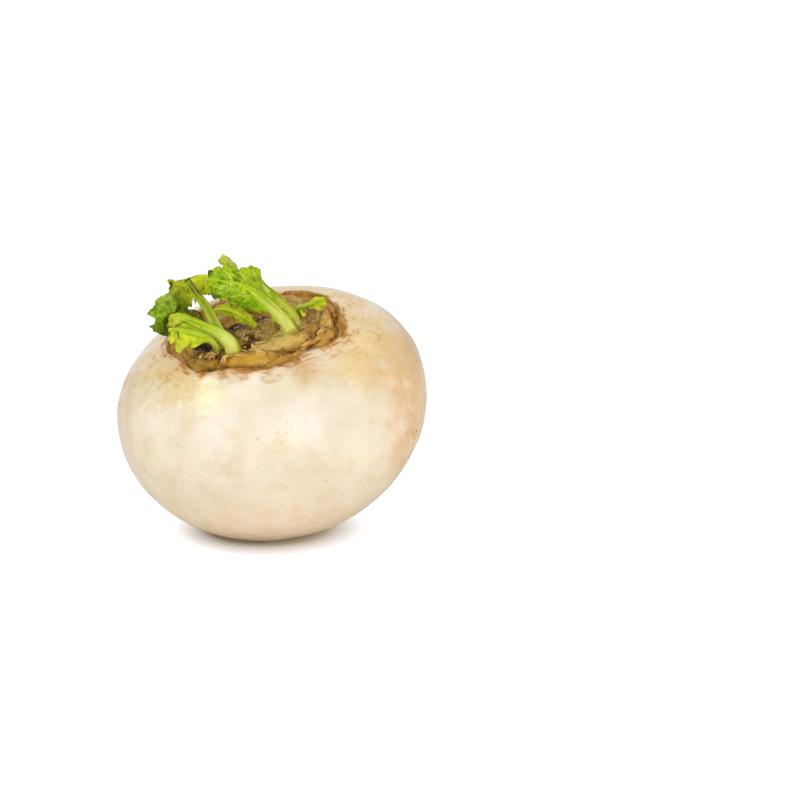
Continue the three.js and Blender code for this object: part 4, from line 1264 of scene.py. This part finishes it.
# the resting spot's middle and half-widths, where the floor gives off no light
CONTACT = (-1.5, -2.0, 20.5, 22.8)
GLOW_WIDTH = 0.7  # the glow rises to full over this many half-widths beyond the spot
GLOW_STRENGTH = 1.1
GLOW_LIFT = 0.02
WORLD_STRENGTH = 0.48
# name, place, aim, width and power
LIGHTS = [
    ("key", (-0.64, -0.15, 0.8), (0, 0, 0.05), 0.2, 2.7),
    ("front_fill", (0.15, -0.95, 0.5), (0, 0, 0.04), 0.9, 2.4),
    ("right_fill", (1.0, -0.1, 0.35), (0, 0, 0.04), 0.9, 2.4),
    ("low_fill", (0.1, -1.0, 0.06), (0, 0, 0.02), 0.5, 2.0),
    ("back_light", (-0.15, 0.95, 0.32), (0, 0, 0.06), 0.8, 0.5),
]


def add_stage(name, mesh, material):
    mesh.materials.append(material)
    piece = bpy.data.objects.new(name, mesh)
    bpy.context.scene.collection.objects.link(piece)
    return piece


def floor_material():
    n = Nodes("floor_white")
    shade = n.ramp(30, (0.91, 0.84, 0.74), (0.93, 0.86, 0.76))
    n.shader.inputs["Specular IOR Level"].default_value = 0.2
    return n.finish(shade, 0.6, n.bump(n.noise(200), 0.02, 0.0001))


def make_glow(shader):
    shader.inputs["Base Color"].default_value = (0, 0, 0, 1)
    shader.inputs["Emission Color"].default_value = (1, 1, 1, 1)
    shader.inputs["Emission Strength"].default_value = GLOW_STRENGTH


def glow_material():
    """White light that fades out round the resting spot, so that a thin shadow shows on the floor below."""
    n = Nodes("floor_glow")
    mapping = n.add("ShaderNodeMapping", vector_type="TEXTURE")
    n.put(mapping.inputs["Vector"], n.place)
    x, y, half_x, half_y = (v * MM for v in CONTACT)
    mapping.inputs["Location"].default_value = (x, y, 0)
    mapping.inputs["Scale"].default_value = (half_x, half_y, 1)
    away = n.add("ShaderNodeVectorMath", operation="LENGTH")
    n.put(away.inputs[0], mapping.outputs[0])
    make_glow(n.shader)
    n.shader.inputs["Specular IOR Level"].default_value = 0.0
    n.put(n.shader.inputs["Alpha"], n.ranged(away.outputs["Value"], 1.0, 1.0 + GLOW_WIDTH))
    return n.material


def dome_material():
    material = bpy.data.materials.new("backdrop_white")
    material.use_nodes = True
    make_glow(material.node_tree.nodes["Principled BSDF"])
    return material


def add_floor():
    mesh = bpy.data.meshes.new("floor")
    h = FLOOR_HALF
    mesh.from_pydata([(-h, -h, 0), (h, -h, 0), (h, h, 0), (-h, h, 0)], [], [(0, 1, 2, 3)])
    add_stage("floor", mesh, floor_material())
    sheet = mesh.copy()
    sheet.materials.clear()
    glow = add_stage("floor_glow", sheet, glow_material())
    glow.location.z = GLOW_LIFT * MM
    camera_only(glow)


def camera_only(piece):
    piece.visible_diffuse = False
    piece.visible_glossy = False
    piece.visible_transmission = False
    piece.visible_shadow = False


def add_backdrop():
    """A white dome that only the camera sees, so that it adds no light of its own."""
    rings, sides = 24, 48
    level = np.linspace(0.001, pi - 0.001, rings)[:, None]
    turn = np.linspace(0, 2 * pi, sides, endpoint=False)[None]
    ring, height = np.sin(level), np.cos(level) + 0 * turn
    grid = np.stack([ring * np.cos(turn), ring * np.sin(turn), height], -1)
    mesh = bpy.data.meshes.new("backdrop")
    mesh.from_pydata((grid.reshape(-1, 3) * DOME_RADIUS).tolist(), [], grid_faces(rings, sides))
    camera_only(add_stage("backdrop", mesh, dome_material()))


def add_light(name, place, aim, size, watts):
    data = bpy.data.lights.new(name, "AREA")
    data.shape = "DISK"
    data.size = size
    data.energy = watts
    light = bpy.data.objects.new(name, data)
    bpy.context.scene.collection.objects.link(light)
    light.location = place
    way = Vector(aim) - Vector(place)
    light.rotation_euler = way.to_track_quat("-Z", "Y").to_euler()


def add_world():
    world = bpy.data.worlds.new("studio")
    world.use_nodes = True
    background = world.node_tree.nodes["Background"]
    background.inputs["Color"].default_value = (1, 0.98, 0.95, 1)
    background.inputs["Strength"].default_value = WORLD_STRENGTH
    bpy.context.scene.world = world


add_floor()
add_backdrop()
add_world()
for light_settings in LIGHTS:
    add_light(*light_settings)

scene = bpy.context.scene
scene.view_settings.view_transform = "Standard"
scene.view_settings.look = "None"
